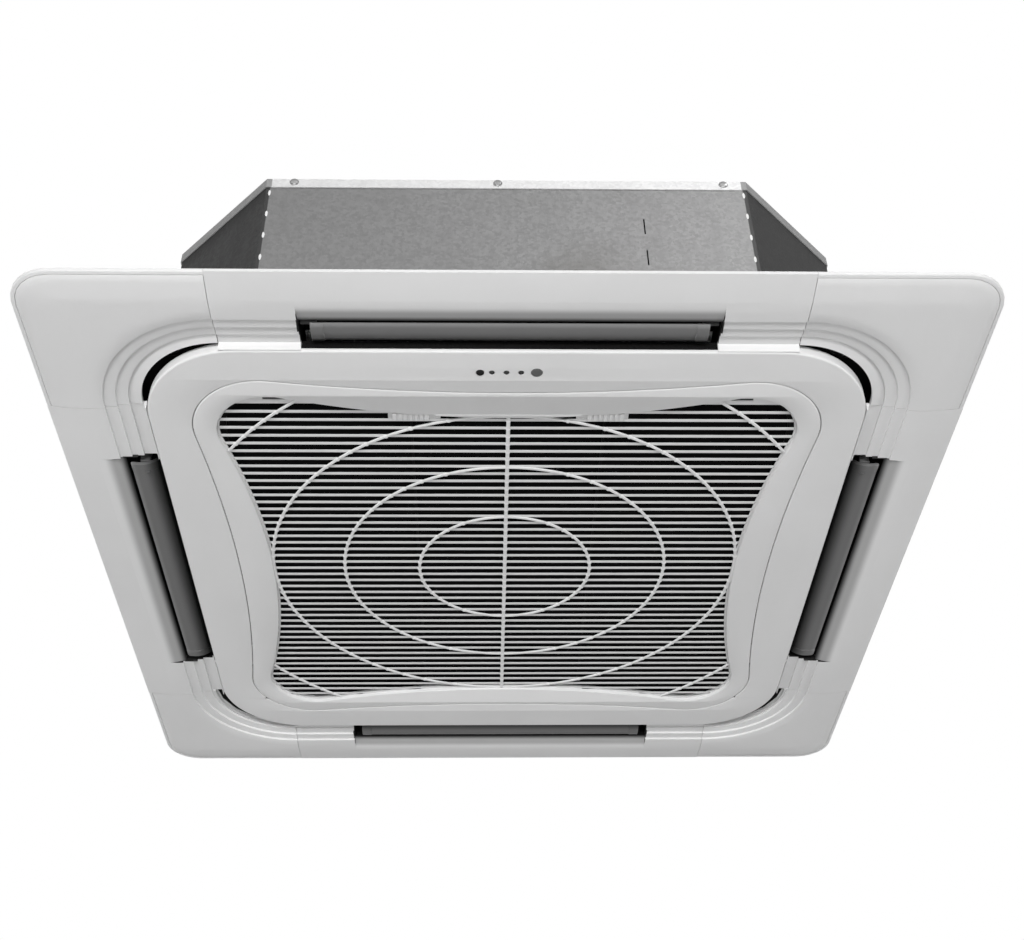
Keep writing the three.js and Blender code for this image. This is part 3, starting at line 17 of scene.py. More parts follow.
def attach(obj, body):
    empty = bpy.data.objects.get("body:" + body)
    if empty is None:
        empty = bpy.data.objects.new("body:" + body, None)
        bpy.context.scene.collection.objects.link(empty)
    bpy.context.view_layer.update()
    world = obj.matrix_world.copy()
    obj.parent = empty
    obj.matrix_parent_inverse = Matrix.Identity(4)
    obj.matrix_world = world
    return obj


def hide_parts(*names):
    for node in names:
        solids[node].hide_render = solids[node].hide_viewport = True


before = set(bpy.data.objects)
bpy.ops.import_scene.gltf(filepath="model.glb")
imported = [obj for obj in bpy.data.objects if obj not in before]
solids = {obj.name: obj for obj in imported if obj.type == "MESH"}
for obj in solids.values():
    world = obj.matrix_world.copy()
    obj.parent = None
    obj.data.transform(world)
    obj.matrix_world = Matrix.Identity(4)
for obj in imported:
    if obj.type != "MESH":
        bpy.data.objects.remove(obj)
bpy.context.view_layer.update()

# %% [markdown]
# ## The camera
# The photograph looks up at the unit from in front and below. Its horizon is slightly tilted, so
# the camera is written as three turns (pitch, yaw and roll) and a place, and its matrix is made of
# the right, up and backward directions. The lens follows from the focal length in pixels.

# %% Camera
PICTURE_WIDTH = 1024
FOCAL_PIXELS = 1397.86
SENSOR = 36
pitch, yaw, roll = (math.radians(angle) for angle in (39.44, 1.70, -0.98))
eye = Vector((-0.03091, -1.42318, -1.01620))

ahead = Vector((math.sin(yaw) * math.cos(pitch), math.cos(yaw) * math.cos(pitch), math.sin(pitch)))
level_right = Vector((math.cos(yaw), -math.sin(yaw), 0))
level_up = level_right.cross(ahead)
right = level_right * math.cos(roll) + level_up * math.sin(roll)
up = level_up * math.cos(roll) - level_right * math.sin(roll)

camera = bpy.data.objects.new("camera", bpy.data.cameras.new("camera"))
bpy.context.scene.collection.objects.link(camera)
bpy.context.scene.camera = camera
camera.data.sensor_width = SENSOR
camera.data.lens = FOCAL_PIXELS / PICTURE_WIDTH * SENSOR
turn = Matrix((right, up, -ahead)).transposed().to_4x4()
camera.matrix_world = Matrix.Translation(eye) @ turn
bpy.context.scene.view_settings.view_transform = "Standard"
print("lens:", round(camera.data.lens, 2), "mm")

# %% [markdown]
# ## Room and light
# A unit like this hangs at the height of a ceiling, so the floor lies well below it. The main lamp
# is broad and stands low in front, so it grazes the panel: what leans towards it is lighter, and
# what leans away falls off quickly. Two weaker lamps below the left and right sides light the steps
# that the main lamp misses, one above and in front lights the casing, and one is over the lid.

# %% Room and light
FLOOR_DROP = 2.7
FLOOR_SIZE = 24


def lamp(name, place, target, size, power):
    """A rectangular lamp that looks at a target and stays out of the picture."""
    data = bpy.data.lights.new(name, "AREA")
    data.shape = "RECTANGLE"
    data.size, data.size_y = size
    data.energy = power
    light = bpy.data.objects.new(name, data)
    bpy.context.scene.collection.objects.link(light)
    light.location = place
    light.rotation_mode = "QUATERNION"
    light.rotation_quaternion = (Vector(target) - Vector(place)).to_track_quat("-Z", "Y")
    light.visible_camera = False


lamp("front_lamp", (-0.3, -4.8, -1.38), (0, 0, 0), (2.4, 1.0), 188)
lamp("left_lamp", (-3.4, 0.1, -1.15), (0, 0, 0), (1.5, 1.0), 25)
lamp("right_lamp", (3.4, 0.1, -1.15), (0, 0, 0), (1.5, 1.0), 24)
lamp("upper_lamp", (2.3, -3.0, 2.4), (0.2, -0.39, 0.15), (1.6, 1.2), 42)
lamp("top_lamp", (-1.2, 1.6, 2.6), (0, 0, 0.2), (2.0, 2.0), 42)
print("lamps:", len(bpy.data.lights))

# %% [markdown]
# ## Writing nodes as Python
# A finish is a small calculation on noise, position and colour. Written with nodes by hand it is
# long, so one class keeps a tree and adds nodes with a single method, and a second class wraps an
# output so that Python's own operators add the Math nodes. Both serve shader and geometry trees.

# %% Node helpers


class Wire:
    """An output socket; + - and * add Math nodes behind it."""

    def __init__(self, nodes, socket):
        self.nodes, self.socket = nodes, socket

    def maths(self, operation, *values):
        return self.nodes.add("ShaderNodeMath", {"operation": operation}, dict(enumerate(values)))

    def __add__(self, other):
        return self.maths("ADD", self, other)

    def __sub__(self, other):
        return self.maths("SUBTRACT", self, other)

    def __mul__(self, other):
        return self.maths("MULTIPLY", self, other)

    def __rsub__(self, other):
        return self.maths("SUBTRACT", other, self)

    __radd__, __rmul__ = __add__, __mul__


class Nodes:
    """A node tree that grows by one method."""

    def __init__(self, tree):
        self.tree = tree

    def add(self, kind, settings=None, sockets=None, out=0):
        node = self.tree.nodes.new(kind)
        for name, value in (settings or {}).items():
            setattr(node, name, value)
        for name, value in (sockets or {}).items():
            if isinstance(value, Wire):
                self.tree.links.new(value.socket, node.inputs[name])
            else:
                node.inputs[name].default_value = value
        return Wire(self, node.outputs[out]) if len(node.outputs) else node

    def smooth(self, value, low, high, start=0.0, end=1.0):
        """From start to end while the value goes from low to high, easing at both ends."""
        return self.add("ShaderNodeMapRange", {"interpolation_type": "SMOOTHSTEP"},
                        {"Value": value, "From Min": low, "From Max": high,
                         "To Min": start, "To Max": end})


# %% [markdown]
# ## White surroundings
# The world is the first tree made this way. It adds a little light from everywhere. It looks white
# to the camera, and to a mirror it is bright in front and behind and dim at the sides.

# %% World
world = bpy.data.worlds.new("studio")
bpy.context.scene.world = world
world.use_nodes = True
world.node_tree.nodes.clear()
seen = Nodes(world.node_tree)
white_to = {name: seen.add("ShaderNodeLightPath", out=name)
            for name in ("Is Camera Ray", "Is Glossy Ray", "Is Transmission Ray")}
shows_white = white_to["Is Camera Ray"].maths("MAXIMUM", white_to["Is Camera Ray"],
                                              white_to["Is Transmission Ray"])
WORLD_FILL = 0.095
GLOSSY_FILL = 0.85  # what a mirror sees in front and behind
GLOSSY_SIDES = 0.2
direction = seen.add("ShaderNodeTexCoord", out="Generated")
forward = seen.add("ShaderNodeSeparateXYZ", None, {"Vector": direction}, out="Y")
mirrored = seen.smooth(forward.maths("ABSOLUTE", forward), 0.1, 0.7, GLOSSY_SIDES, GLOSSY_FILL)
level = (shows_white * (1 - WORLD_FILL) + white_to["Is Glossy Ray"] * (mirrored - WORLD_FILL)
         + WORLD_FILL)
seen.add("ShaderNodeOutputWorld", None, {"Surface": seen.add(
    "ShaderNodeBackground", None, {"Color": (1, 1, 1, 1), "Strength": level})})
print("world nodes:", len(world.node_tree.nodes))

# %% [markdown]
# ## Finishes
# Every finish starts with the same moves: coordinates in metres on the object, one slow noise that
# shifts the tone as mouldings and sheet do, one fine noise for the grain, and a bump. Only the
# Principled shader's baked sockets get anything that varies.

# %% Finish helpers
NOISE_ROUGHNESS = 0.55


def linear(grey_or_colour):
    """sRGB numbers from 0 to 1, as read off a picture, as the linear colour a shader takes."""
    values = grey_or_colour if isinstance(grey_or_colour, tuple) else (grey_or_colour,) * 3
    return (*(v / 12.92 if v < 0.04045 else ((v + 0.055) / 1.055) ** 2.4 for v in values), 1)


class Finish(Nodes):
    """A Principled material with the moves that the finishes share."""

    def __init__(self, name):
        self.material = bpy.data.materials.new(name)
        self.material.use_nodes = True
        super().__init__(self.material.node_tree)
        self.tree.nodes.clear()
        self.place = self.add("ShaderNodeTexCoord", out="Object")

    def stretched(self, scale):
        return self.add("ShaderNodeMapping", None, {"Vector": self.place, "Scale": scale})

    def noise(self, scale, detail=3.0, where=None):
        return self.add("ShaderNodeTexNoise", None,
                        {"Vector": where or self.place, "Scale": scale, "Detail": detail,
                         "Roughness": NOISE_ROUGHNESS})

    def cells(self, scale, out="Color", feature="F1"):
        return self.add("ShaderNodeTexVoronoi", {"feature": feature},
                        {"Vector": self.place, "Scale": scale}, out=out)

    def mix(self, amount, first, second):
        return self.add("ShaderNodeMix", {"data_type": "RGBA"},
                        {"Factor": amount, "A": first, "B": second}, out="Result")

    def along(self, axis):
        return self.add("ShaderNodeSeparateXYZ", None, {"Vector": self.place}, out=axis)

    def off_middle(self):
        """Distances from the unit's two middle planes, across X and across Y."""
        return [value.maths("ABSOLUTE", value) for value in (self.along("X"), self.along("Y"))]

    def bump(self, height, depth):
        return self.add("ShaderNodeBump", None, {"Height": height, "Distance": depth})

    def done(self, **sockets):
        sockets = {name.replace("_", " ").title().replace("Ior", "IOR"): value
                   for name, value in sockets.items()}
        shader = self.add("ShaderNodeBsdfPrincipled", None, sockets)
        self.add("ShaderNodeOutputMaterial", None, {"Surface": shader})
        return self.material


# %% [markdown]
# ## Moulded plastic
# The panel is light grey ABS with a very fine spark-eroded grain, so its highlights are broad. A
# slow noise keeps the large faces from looking printed, and a finer one lets the polish vary. Three
# mouldings carry painted shade by their place: the panel frame is painted black behind its slots
# and on the short walls of the outlets, where shade falls, and the louvres and lips are painted
# darker inwards, where little light gets.

# %% Plastics
GRAIN = 1800  # grains per metre of a spark-eroded mould
GRAIN_DEPTH = 0.00003
CLOUDING = 0.012
BEHIND = 0.0046  # painted shade: the panel frame is painted black above this height, in metres
BEHIND_SOFT = 0.0006
# The outlets' short walls, painted black as painted shade, in metres: off the outlet's middle, off
# the unit's middle, and up.
END_WALL = (0.2154, 0.2156)
END_WALL_FROM, END_WALL_TO = (0.394, 0.3945), (0.4582, 0.4584)
END_WALL_UP = (-0.0079, -0.0076)


def shade(colour, change):
    if isinstance(colour, tuple):
        return tuple(max(0.0, v + change) for v in colour)
    return max(0.0, colour + change)


def clouded(f, grey):
    patches = f.smooth(f.noise(5.0, 2.0), 0.3, 0.7)
    return f.mix(patches, linear(grey), linear(shade(grey, -CLOUDING)))


def polished(f, roughness):
    return f.smooth(f.noise(14.0, 4.0), 0.35, 0.65, roughness - 0.04, roughness + 0.05)


def moulded(name, grey, roughness=0.42, grain_depth=GRAIN_DEPTH, coat=0.0, shine=0.4):
    f = Finish(name)
    return f.done(base_color=clouded(f, grey), roughness=polished(f, roughness),
                  normal=f.bump(f.noise(GRAIN, 2.0), grain_depth),
                  coat_weight=coat, specular_ior_level=shine)


def moulding_with_painted_shade(name, grey):
    """Moulded plastic with painted shade: black above a height and on the outlets' short walls, for
    what shows through the slots and outlets.
    """
    f = Finish(name)
    across, deep = f.off_middle()
    far, near = across.maths("MAXIMUM", across, deep), across.maths("MINIMUM", across, deep)
    # painted shade: the outlets' short walls and everything above BEHIND are painted black, where
    # the slots and outlets lie in shade
    end_wall = (f.smooth(near, *END_WALL, 1.0, 0.0) * f.smooth(far, *END_WALL_FROM)
                * f.smooth(far, *END_WALL_TO, 1.0, 0.0) * f.smooth(f.along("Z"), *END_WALL_UP))
    above = f.smooth(f.along("Z"), BEHIND, BEHIND + BEHIND_SOFT)
    black = above.maths("MAXIMUM", above, end_wall)
    return f.done(base_color=f.mix(black, clouded(f, grey), linear(0.07)),
                  roughness=black * 0.45 + 0.44,
                  normal=f.bump(f.noise(GRAIN, 2.0), GRAIN_DEPTH), specular_ior_level=0.4)


def shaded_inwards(name, roughness, inner, middle, outer, first_change, second_change):
    """Three greys by the distance from the unit's middle, with a soft change between each two:
    painted shade, darker inwards.
    """
    f = Finish(name)
    across, deep = f.off_middle()
    distance = across.maths("MAXIMUM", across, deep)
    tone = f.mix(f.smooth(distance, *first_change), linear(inner), linear(middle))
    tone = f.mix(f.smooth(distance, *second_change), tone, linear(outer))
    return f.done(base_color=tone, roughness=polished(f, roughness),
                  normal=f.bump(f.noise(GRAIN, 2.0), GRAIN_DEPTH), specular_ior_level=0.4)


def foam(name, grey, bead):
    """Expanded foam: rounded beads pressed together, matt, with darker joints."""
    f = Finish(name)
    joint = f.cells(bead, out="Distance", feature="DISTANCE_TO_EDGE")
    edge = f.smooth(joint, 0.0, 0.12)
    tone = f.mix(edge, linear(shade(grey, -0.05)), linear(grey))
    return f.done(base_color=tone, roughness=f.smooth(edge, 0, 1, 0.95, 0.8),
                  normal=f.bump(edge, 0.0003), specular_ior_level=0.15)


# %% The plastics and foams
panel_white = moulded("panel_white", 0.885)
panel_painted_shade = moulding_with_painted_shade("panel_white_with_painted_shade", 0.885)
grille_white = moulded("grille_white", 0.885, roughness=0.4)
slat_white = moulded("slat_white", 0.87, roughness=0.45)
rib_white = moulded("rib_white", 0.93, roughness=0.38)
# painted shade: the louvres and the outlet lips are painted darker inwards, where little light gets
louvre_grey = shaded_inwards("louvre_grey", 0.4, 0.05, 0.43, 0.50, (0.394, 0.414), (0.418, 0.4245))
lip_white = shaded_inwards("lip_white", 0.5, 0.04, 0.68, 0.885, (0.428, 0.437), (0.441, 0.452))
knob_grey = moulded("knob_grey", 0.84, roughness=0.45)
actuator_black = moulded("actuator_black", 0.14)
fan_grey = moulded("fan_grey", 0.20, roughness=0.5)
bellmouth_black = moulded("bellmouth_black", 0.08, roughness=0.5, shine=0.2)
pump_grey = moulded("pump_grey", 0.66)
filter_black = moulded("filter_black", 0.06, roughness=0.6, shine=0.1)
black_foam = foam("black_foam", 0.085, 420)
white_foam = foam("white_foam", 0.93, 190)
button_black = moulded("button_black", 0.05, roughness=0.25, grain_depth=0.00001)
window_smoke = moulded("window_smoke", 0.36, roughness=0.22, grain_depth=0.00001, coat=0.5)
light_smoke = moulded("light_smoke", 0.20, roughness=0.22, grain_depth=0.00001, coat=0.5)
print("plastics and foams:", len(bpy.data.materials))

# %% [markdown]
# ## Metals
# Hot-dip zinc freezes into spangles, small crystals that each reflect a little differently, and the
# sheet also keeps faint upright marks of its rolling. Cell noise gives every crystal its own
# brightness and roughness, and a noise stretched upwards gives the marks. The casing also carries
# painted shade: it is painted darker towards the left and on its four slanted sheets, as in the
# photograph.

# %% Metals
SPANGLE = 300  # crystals per metre
LEFT_TO_RIGHT = (-0.35, 0.35)
SLANTED_FROM = (0.6605, 0.6615)  # sum of the two distances off the middle planes, in metres


def galvanised(name, grey=0.62, metallic=0.75):
    f = Finish(name)
    crystal = f.cells(SPANGLE, out="Color")
    random_value = f.add("ShaderNodeSeparateColor", None, {"Color": crystal}, out="Red")
    streak = f.noise(1.0, 3.0, f.stretched((40, 40, 12)))
    dirt = f.noise(7.0, 5.0)
    tone = f.mix(random_value, linear(grey - 0.03), linear(grey + 0.03))
    tone = f.mix(f.smooth(streak, 0.35, 0.75, 0.0, 0.2), tone, linear(grey - 0.13))
    # painted shade: the sheet is painted darker towards the left
    tone = f.mix(f.smooth(f.along("X"), *LEFT_TO_RIGHT, 0.4, 0.0), tone, linear(grey - 0.22))
    # painted shade: the four slanted sheets are painted darker
    across, deep = f.off_middle()
    slanted = f.smooth(across + deep, *SLANTED_FROM, 0.0, 0.85)
    tone = f.mix(slanted, tone, linear(grey - 0.42))
    tone = f.mix(f.smooth(dirt, 0.55, 0.8, 0.0, 0.35), tone, linear((0.43, 0.42, 0.40)))
    rough = random_value * 0.14 + f.smooth(streak, 0.3, 0.7, 0.36, 0.46)
    return f.done(base_color=tone, metallic=metallic, roughness=rough,
                  normal=f.bump(f.noise(260, 3.0) + random_value * 0.4, 0.00008))


def bare_metal(name, colour, roughness=0.32, brushing=(900, 900, 60)):
    f = Finish(name)
    brushed = f.noise(1.0, 3.0, f.stretched(brushing))
    tarnish = f.noise(40.0, 4.0)
    tarnished = f.smooth(tarnish, 0.45, 0.75, 0.0, 0.5)
    tone = f.mix(tarnished, linear(colour), linear(shade(colour, -0.14)))
    return f.done(base_color=tone, metallic=1.0,
                  roughness=f.smooth(brushed, 0.3, 0.7, roughness - 0.06, roughness + 0.1),
                  normal=f.bump(brushed, 0.00003))


def finned(name, fins_per_metre):
    """The coil from outside: fin edges across the tubes, alternately bright and dark; the dark gaps
    between the fins are painted shade.
    """
    f = Finish(name)
    across = (f.along("X") + f.along("Y")) * fins_per_metre
    comb = across.maths("FRACT", across)
    edge = f.smooth(comb, 0.25, 0.45)
    haze = f.noise(30.0, 3.0)
    # painted shade: the gaps between the fins are painted dark
    tone = f.mix(edge, linear(0.74), linear(0.30))
    tone = f.mix(f.smooth(haze, 0.5, 0.8, 0.0, 0.3), tone, linear(0.45))
    return f.done(base_color=tone, metallic=0.8, roughness=edge * 0.2 + 0.35,
                  normal=f.bump(1 - edge, 0.0008))


# %% The metals
casing_zinc = galvanised("casing_zinc")
lip_zinc = galvanised("lip_zinc", 0.93, 0.1)
box_zinc = galvanised("box_zinc", 0.66)
bracket_zinc = galvanised("bracket_zinc", 0.68)
bright_steel = bare_metal("bright_steel", 0.72)
weld_white = moulded("weld_white", 0.92, roughness=0.5)
motor_steel = bare_metal("motor_steel", 0.45, 0.45)
copper = bare_metal("copper", (0.80, 0.48, 0.34), 0.3)
brass = bare_metal("brass", (0.80, 0.66, 0.38), 0.28)
coil_fins = finned("coil_fins", 450)
print("finishes so far:", len(bpy.data.materials))

# %% [markdown]
# ## Circuit board and filter net
# Two parts behind the face are patterns more than plastics. The board's tracks are a small brick
# pattern, and the net is two sine waves, so neither needs any more faces.

# %% Board and net


def printed_board(name):
    f = Finish(name)
    track = f.add("ShaderNodeTexBrick", None,
                  {"Vector": f.place, "Scale": 260.0, "Color1": linear((0.12, 0.30, 0.18)),
                   "Color2": linear((0.10, 0.26, 0.16)), "Mortar": linear((0.30, 0.42, 0.24)),
                   "Mortar Size": 0.05})
    return f.done(base_color=track, roughness=f.smooth(f.noise(300.0), 0.3, 0.7, 0.35, 0.5))


def net(name, threads_per_metre):
    """Filter net: threads both ways with darker holes between them; the net is painted near black,
    and its holes darker still, as painted shade behind the slats.
    """
    f = Finish(name)
    waves = []
    for axis in ("X", "Y"):
        phase = f.along(axis) * (threads_per_metre * 2 * math.pi)
        waves.append(phase.maths("SINE", phase))
    weave = waves[0].maths("MAXIMUM", *waves)
    thread = f.smooth(weave, 0.2, 0.9)
    # painted shade: near-black threads and darker holes stand for the shade behind the slats
    return f.done(base_color=f.mix(thread, linear(0.015), linear(0.05)),
                  roughness=0.8 - thread * 0.15,
                  normal=f.bump(thread, 0.0003), specular_ior_level=0.05)


board_green = printed_board("board_green")
filter_net = net("filter_net", 700)
print("finishes:", len(bpy.data.materials))

# %% [markdown]
# ## Dressing the solids
# The straight and hidden solids keep their shape. Each gets its finish on its own material slot.

# %% Finish for each solid
finish_of = {
    "panel_frame": panel_painted_shade, "outlet_duct": black_foam, "louvre_motor": actuator_black,
    "louvre_bearing": actuator_black, "grille_latch": knob_grey, "hinge_pin": bright_steel,
    "filter_frame": filter_black, "filter_mesh": filter_net, "display_board": board_green,
    "casing": casing_zinc, "top_plate": lip_zinc, "foam_liner": black_foam,
    "hanging_bracket": bracket_zinc, "heat_exchanger": coil_fins, "drain_pan": white_foam,
    "bellmouth": bellmouth_black, "turbo_fan": fan_grey, "fan_shaft": bright_steel,
    "fan_nut": bright_steel, "fan_motor": motor_steel, "gas_pipe": copper, "liquid_pipe": copper,
    "gas_flare_nut": brass, "liquid_flare_nut": brass, "drain_pump": pump_grey,
    "drain_outlet": pump_grey, "float_switch": actuator_black, "cable_gland": actuator_black,
    "control_box": box_zinc, "corner_cover": panel_white, "centre_frame": panel_white,
    "louvre": louvre_grey, "grille_frame": grille_white, "grille_slats": slat_white,
    "emergency_button": button_black, "status_light": light_smoke, "receiver_window": window_smoke,
}
for name, solid in solids.items():
    stem = max((key for key in finish_of if name.startswith(key)), key=len)
    solid.data.materials.clear()
    solid.data.materials.append(finish_of[stem])
print("solids dressed:", len(solids))

# %% [markdown]
# ## Outlines and skins
# Three outlines make the whole face: a square with round corners, a square whose sides bow in
# between round lobes, and a circle. A moulding is then a pile of such rings at different heights,
# joined by walls and closed by flat caps, so its roundings are rows of rings rather than modifiers.

# %% Outlines and skins
MM = 0.001
QUARTER = math.pi / 2
SIDES = ("far", "left", "near", "right")
CORNERS = ("far_right", "far_left", "near_left", "near_right")
CORNER_STEPS, LOBE_STEPS, SIDE_STEPS = 24, 28, 36


def turned_by(x, y, quarters):
    return [(x, y), (-y, x), (-x, -y), (y, -x)][quarters % 4]


def arc(x, y, radius, start, stop, steps):
    angles = [start + (stop - start) * i / steps for i in range(steps + 1)]
    return [(x + radius * math.cos(a), y + radius * math.sin(a)) for a in angles]


def all_quarters(outline):
    return [turned_by(x, y, q) for q in range(4) for x, y in outline]


def rounded_square(half, radius):
    return all_quarters(arc(half - radius, half - radius, radius, 0, QUARTER, CORNER_STEPS))


def waisted_square(centre, radius, flare_degrees):
    """Round lobes about (centre, centre) whose ends flare out into sides that bow inwards."""
    flare = math.radians(flare_degrees)
    side_radius = centre / math.sin(flare) - radius
    side_centre = centre + centre / math.tan(flare)
    side = arc(0, side_centre, side_radius, flare - QUARTER, -flare - QUARTER, SIDE_STEPS)
    lobe = arc(centre, centre, radius, -flare, QUARTER + flare, LOBE_STEPS)
    return all_quarters(lobe + side[1:-1])


def circle(x, y, radius, steps=40):
    return arc(x, y, radius, 0, 2 * math.pi, steps)[:-1]


print("points round a circle:", len(circle(0, 0, 1)))

# %% Skins


class Skin:
    """A closed surface in millimetres: rings of points, walls between them and caps over them."""

    def __init__(self):
        self.mesh = bmesh.new()

    def ring(self, points):
        return [self.mesh.verts.new([v * MM for v in point]) for point in points]

    def level(self, outline, z):
        return self.ring([(x, y, z) for x, y in outline])

    def wall(self, first, second, closed=True):
        count = len(first)
        for i in range(count if closed else count - 1):
            j = (i + 1) % count
            self.mesh.faces.new((first[i], first[j], second[j], second[i]))

    def cap(self, *rings):
        points = [vertex for ring in rings for vertex in ring]
        for corners in tessellate_polygon([[v.co for v in ring] for ring in rings]):
            self.mesh.faces.new([points[i] for i in corners])

    def pile(self, rings, closed=True):
        for first, second in zip(rings, rings[1:]):
            self.wall(first, second, closed)
        return rings[0], rings[-1]

    def sweep(self, sections, closed=False):
        """Equal sections at successive places; open runs get flat ends."""
        rings = [self.ring(section) for section in sections]
        self.pile(rings + rings[:1] if closed else rings)
        if not closed:
            self.cap(rings[0])
            self.cap(rings[-1])

    def block(self, low, high, soft=0.4):
        """A box with softened edges."""
        made = bmesh.ops.create_cube(self.mesh, size=1)["verts"]
        middle = [(a + b) / 2 * MM for a, b in zip(low, high)]
        size = [(b - a) * MM for a, b in zip(low, high)]
        for vertex in made:
            vertex.co = [m + v * s for m, v, s in zip(middle, vertex.co, size)]
        edges = {edge for vertex in made for edge in vertex.link_edges}
        bmesh.ops.bevel(self.mesh, geom=list(edges), offset=soft * MM, segments=2, profile=0.5,
                        affect="EDGES")

    def turn(self, quarters):
        bmesh.ops.rotate(self.mesh, verts=self.mesh.verts,
                         matrix=Matrix.Rotation(quarters * QUARTER, 3, "Z"))
        return self

    def to_mesh(self, name, sharp=32):
        """The finished mesh; edges that turn by more than `sharp` degrees stay crisp."""
        bmesh.ops.recalc_face_normals(self.mesh, faces=self.mesh.faces)
        for edge in self.mesh.edges:
            edge.smooth = edge.is_manifold and edge.calc_face_angle() < math.radians(sharp)
        for face in self.mesh.faces:
            face.smooth = True
        mesh = bpy.data.meshes.new(name)
        self.mesh.to_mesh(mesh)
        self.mesh.free()
        return mesh


# %% Placing pieces


def place(name, mesh, material, body, replaces=(), slot=None):
    """Link a finished mesh, hand it to its body and hide the solids that it stands for."""
    piece = bpy.data.objects.new(name, mesh)
    bpy.context.scene.collection.objects.link(piece)
    if not mesh.materials:
        mesh.materials.append(material)
    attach(piece, body)
    if replaces:
        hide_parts(*replaces)
    print(name, len(mesh.polygons), "faces on", body)


def skin_of(mesh):
    """A skin that starts from a mesh, so that more can be added to it."""
    skin = Skin()
    skin.mesh.from_mesh(mesh)
    return skin


def between(first, second):
    """Lowest and highest corner of the box that two corners span."""
    return tuple(map(min, first, second)), tuple(map(max, first, second))


def turned(skin, profile, x, y, steps=48):
    """Spin (radius, z) points round the vertical through x, y; ends on the axis are closed."""
    rings = [skin.level(circle(x, y, radius, steps), z) for radius, z in profile]
    first, last = skin.pile(rings)
    skin.cap(first)
    skin.cap(last)


# %% [markdown]
# ## Corner covers
# The four corner covers are one injection moulding used four times. All curves of its stepped
# coffer turn about one point, while the rim keeps a corner of its own, so the section is swept by a
# ray that turns about that point: the coffer's points keep their radius, and the rim's points are
# where the ray meets a rounded square. Every riser ends in a small round, which is what catches the
# light in the photograph. The black slot between the covers and the tray is wider at the far
# corners than at the near ones, so the covers end at two distances.

# %% Corner covers
PANEL_HALF = 495
RIM_CORNER = 45
SEAM = 300
SEAM_GAP, RIM_OVERLAP = 0.3, 0.25
FACE = -8
COFFER = 446
TREADS, TREAD, RISE = 3, 13, 2.7
FIRST_RISE = 0.8
COVER_INNER = {"near_left": 393.6, "near_right": 393.6, "far_left": 402, "far_right": 402}
STRIP_FALL = 1.8  # the innermost strip of a cover slopes back down to the tray
COVER_BACK = 3.9
RIM_LINE = 490.4  # the groove that sets off the rim
COVER_COLUMNS = 40
POST = (453, 453, -6), (460, 460, 4.7)  # lug that screws the cover to the frame


def coffer_front(inner):
    """(distance, z) of the stepped front, from the flat face to the inner edge."""
    points = [(COFFER + 1.5, FACE), (COFFER, FACE + 0.03), (COFFER - 1.5, FACE + 0.09)]
    for step in range(1, TREADS + 1):
        edge, low = COFFER - step * TREAD, FACE + FIRST_RISE + (step - 1) * RISE
        points += [(edge + 0.7, low), (edge + 0.2, low + 0.2), (edge, low + 0.7),
                   (edge, low + RISE - 0.3), (edge - 0.3, low + RISE)]
    return points + [(inner, FACE + FIRST_RISE + TREADS * RISE - STRIP_FALL)]


rim_front = [(PANEL_HALF, 0), (PANEL_HALF, -3.0), (494.8, -3.45), (494.4, -3.75), (493.7, -3.96),
             (RIM_LINE + 0.5, -4.31), (RIM_LINE + 0.2, -3.2), (RIM_LINE - 0.2, -3.2),
             (RIM_LINE - 0.4, -4.2), (RIM_LINE - 0.8, -4.47), (480, -5.67), (470, -6.9),
             (465, -7.45), (461.2, -7.8), (457.5, -7.95), (454, FACE)]
rim_back = [(461.2, -5), (491.5, -1.24), (491.5, 0)]
coffer_back = [(410, COVER_BACK), (447, -5)]


def on_ray(distance, angle, on_rim):
    """Where the ray from the coffer's centre meets the line this far from the panel's middle."""
    cos, sin = math.cos(angle), math.sin(angle)
    reach = distance - SEAM
    if on_rim:
        straight = PANEL_HALF - RIM_CORNER - SEAM
        if reach * min(cos, sin) <= straight * max(cos, sin):
            reach = reach / max(cos, sin)
        else:
            half_way = straight * (cos + sin)
            radius = RIM_CORNER - (PANEL_HALF - distance)
            reach = half_way + math.sqrt(half_way ** 2 - (2 * straight ** 2 - radius ** 2))
    side = SEAM - RIM_OVERLAP if distance > RIM_LINE else SEAM + SEAM_GAP
    return max(SEAM + reach * cos, side), max(SEAM + reach * sin, side)


# %% The four covers
for quarter, corner in enumerate(CORNERS):
    inner = COVER_INNER[corner]
    coffer = coffer_front(inner) + [(inner, COVER_BACK)] + coffer_back
    cover_section = ([(d, z, True) for d, z in rim_front] + [(d, z, False) for d, z in coffer]
                     + [(d, z, True) for d, z in rim_back])
    skin = Skin()
    skin.sweep([[(*on_ray(distance, QUARTER * column / COVER_COLUMNS, on_rim), z)
                 for distance, z, on_rim in cover_section] for column in range(COVER_COLUMNS + 1)])
    skin.block(*POST)
    place("cover_" + corner, skin.turn(quarter).to_mesh("cover_" + corner), panel_white, "housing",
          ["corner_cover_" + corner])

# %% [markdown]
# ## Panel frame with rolled lips
# The panel frame keeps its own shape except along the four outlets, where the face rolls up into
# the opening. The few flats of the solid's lip are cut out of a copy of its mesh, and a finely
# drawn roll takes their place, so light fades over it evenly. A small block at each end shuts the
# gap that the cut leaves behind the roll.

# %% Panel frame
OUTLET_HALF = 215
LIP_FROM, LIP_TO, LIP_RISE = 458, 428, 5.5
LIP_CUT_TO, LIP_CUT_TOP = 424, 0.4
LIP_STEPS = 12
STOP_FROM, STOP_TO = 0.1, 1.5  # the end blocks, measured out from the outlet's end
COPY_JOIN = 0.002  # corners of a solid's triangles that are closer than this are one
lip_front = [(LIP_FROM - (LIP_FROM - LIP_TO) * t, FACE + LIP_RISE * t * t)
             for t in (step / LIP_STEPS for step in range(LIP_STEPS + 1))]
lip_back = [(428.8, -1.9), (434, -1.5), (440, -3.6), (446, -4.7), (458, -5)]


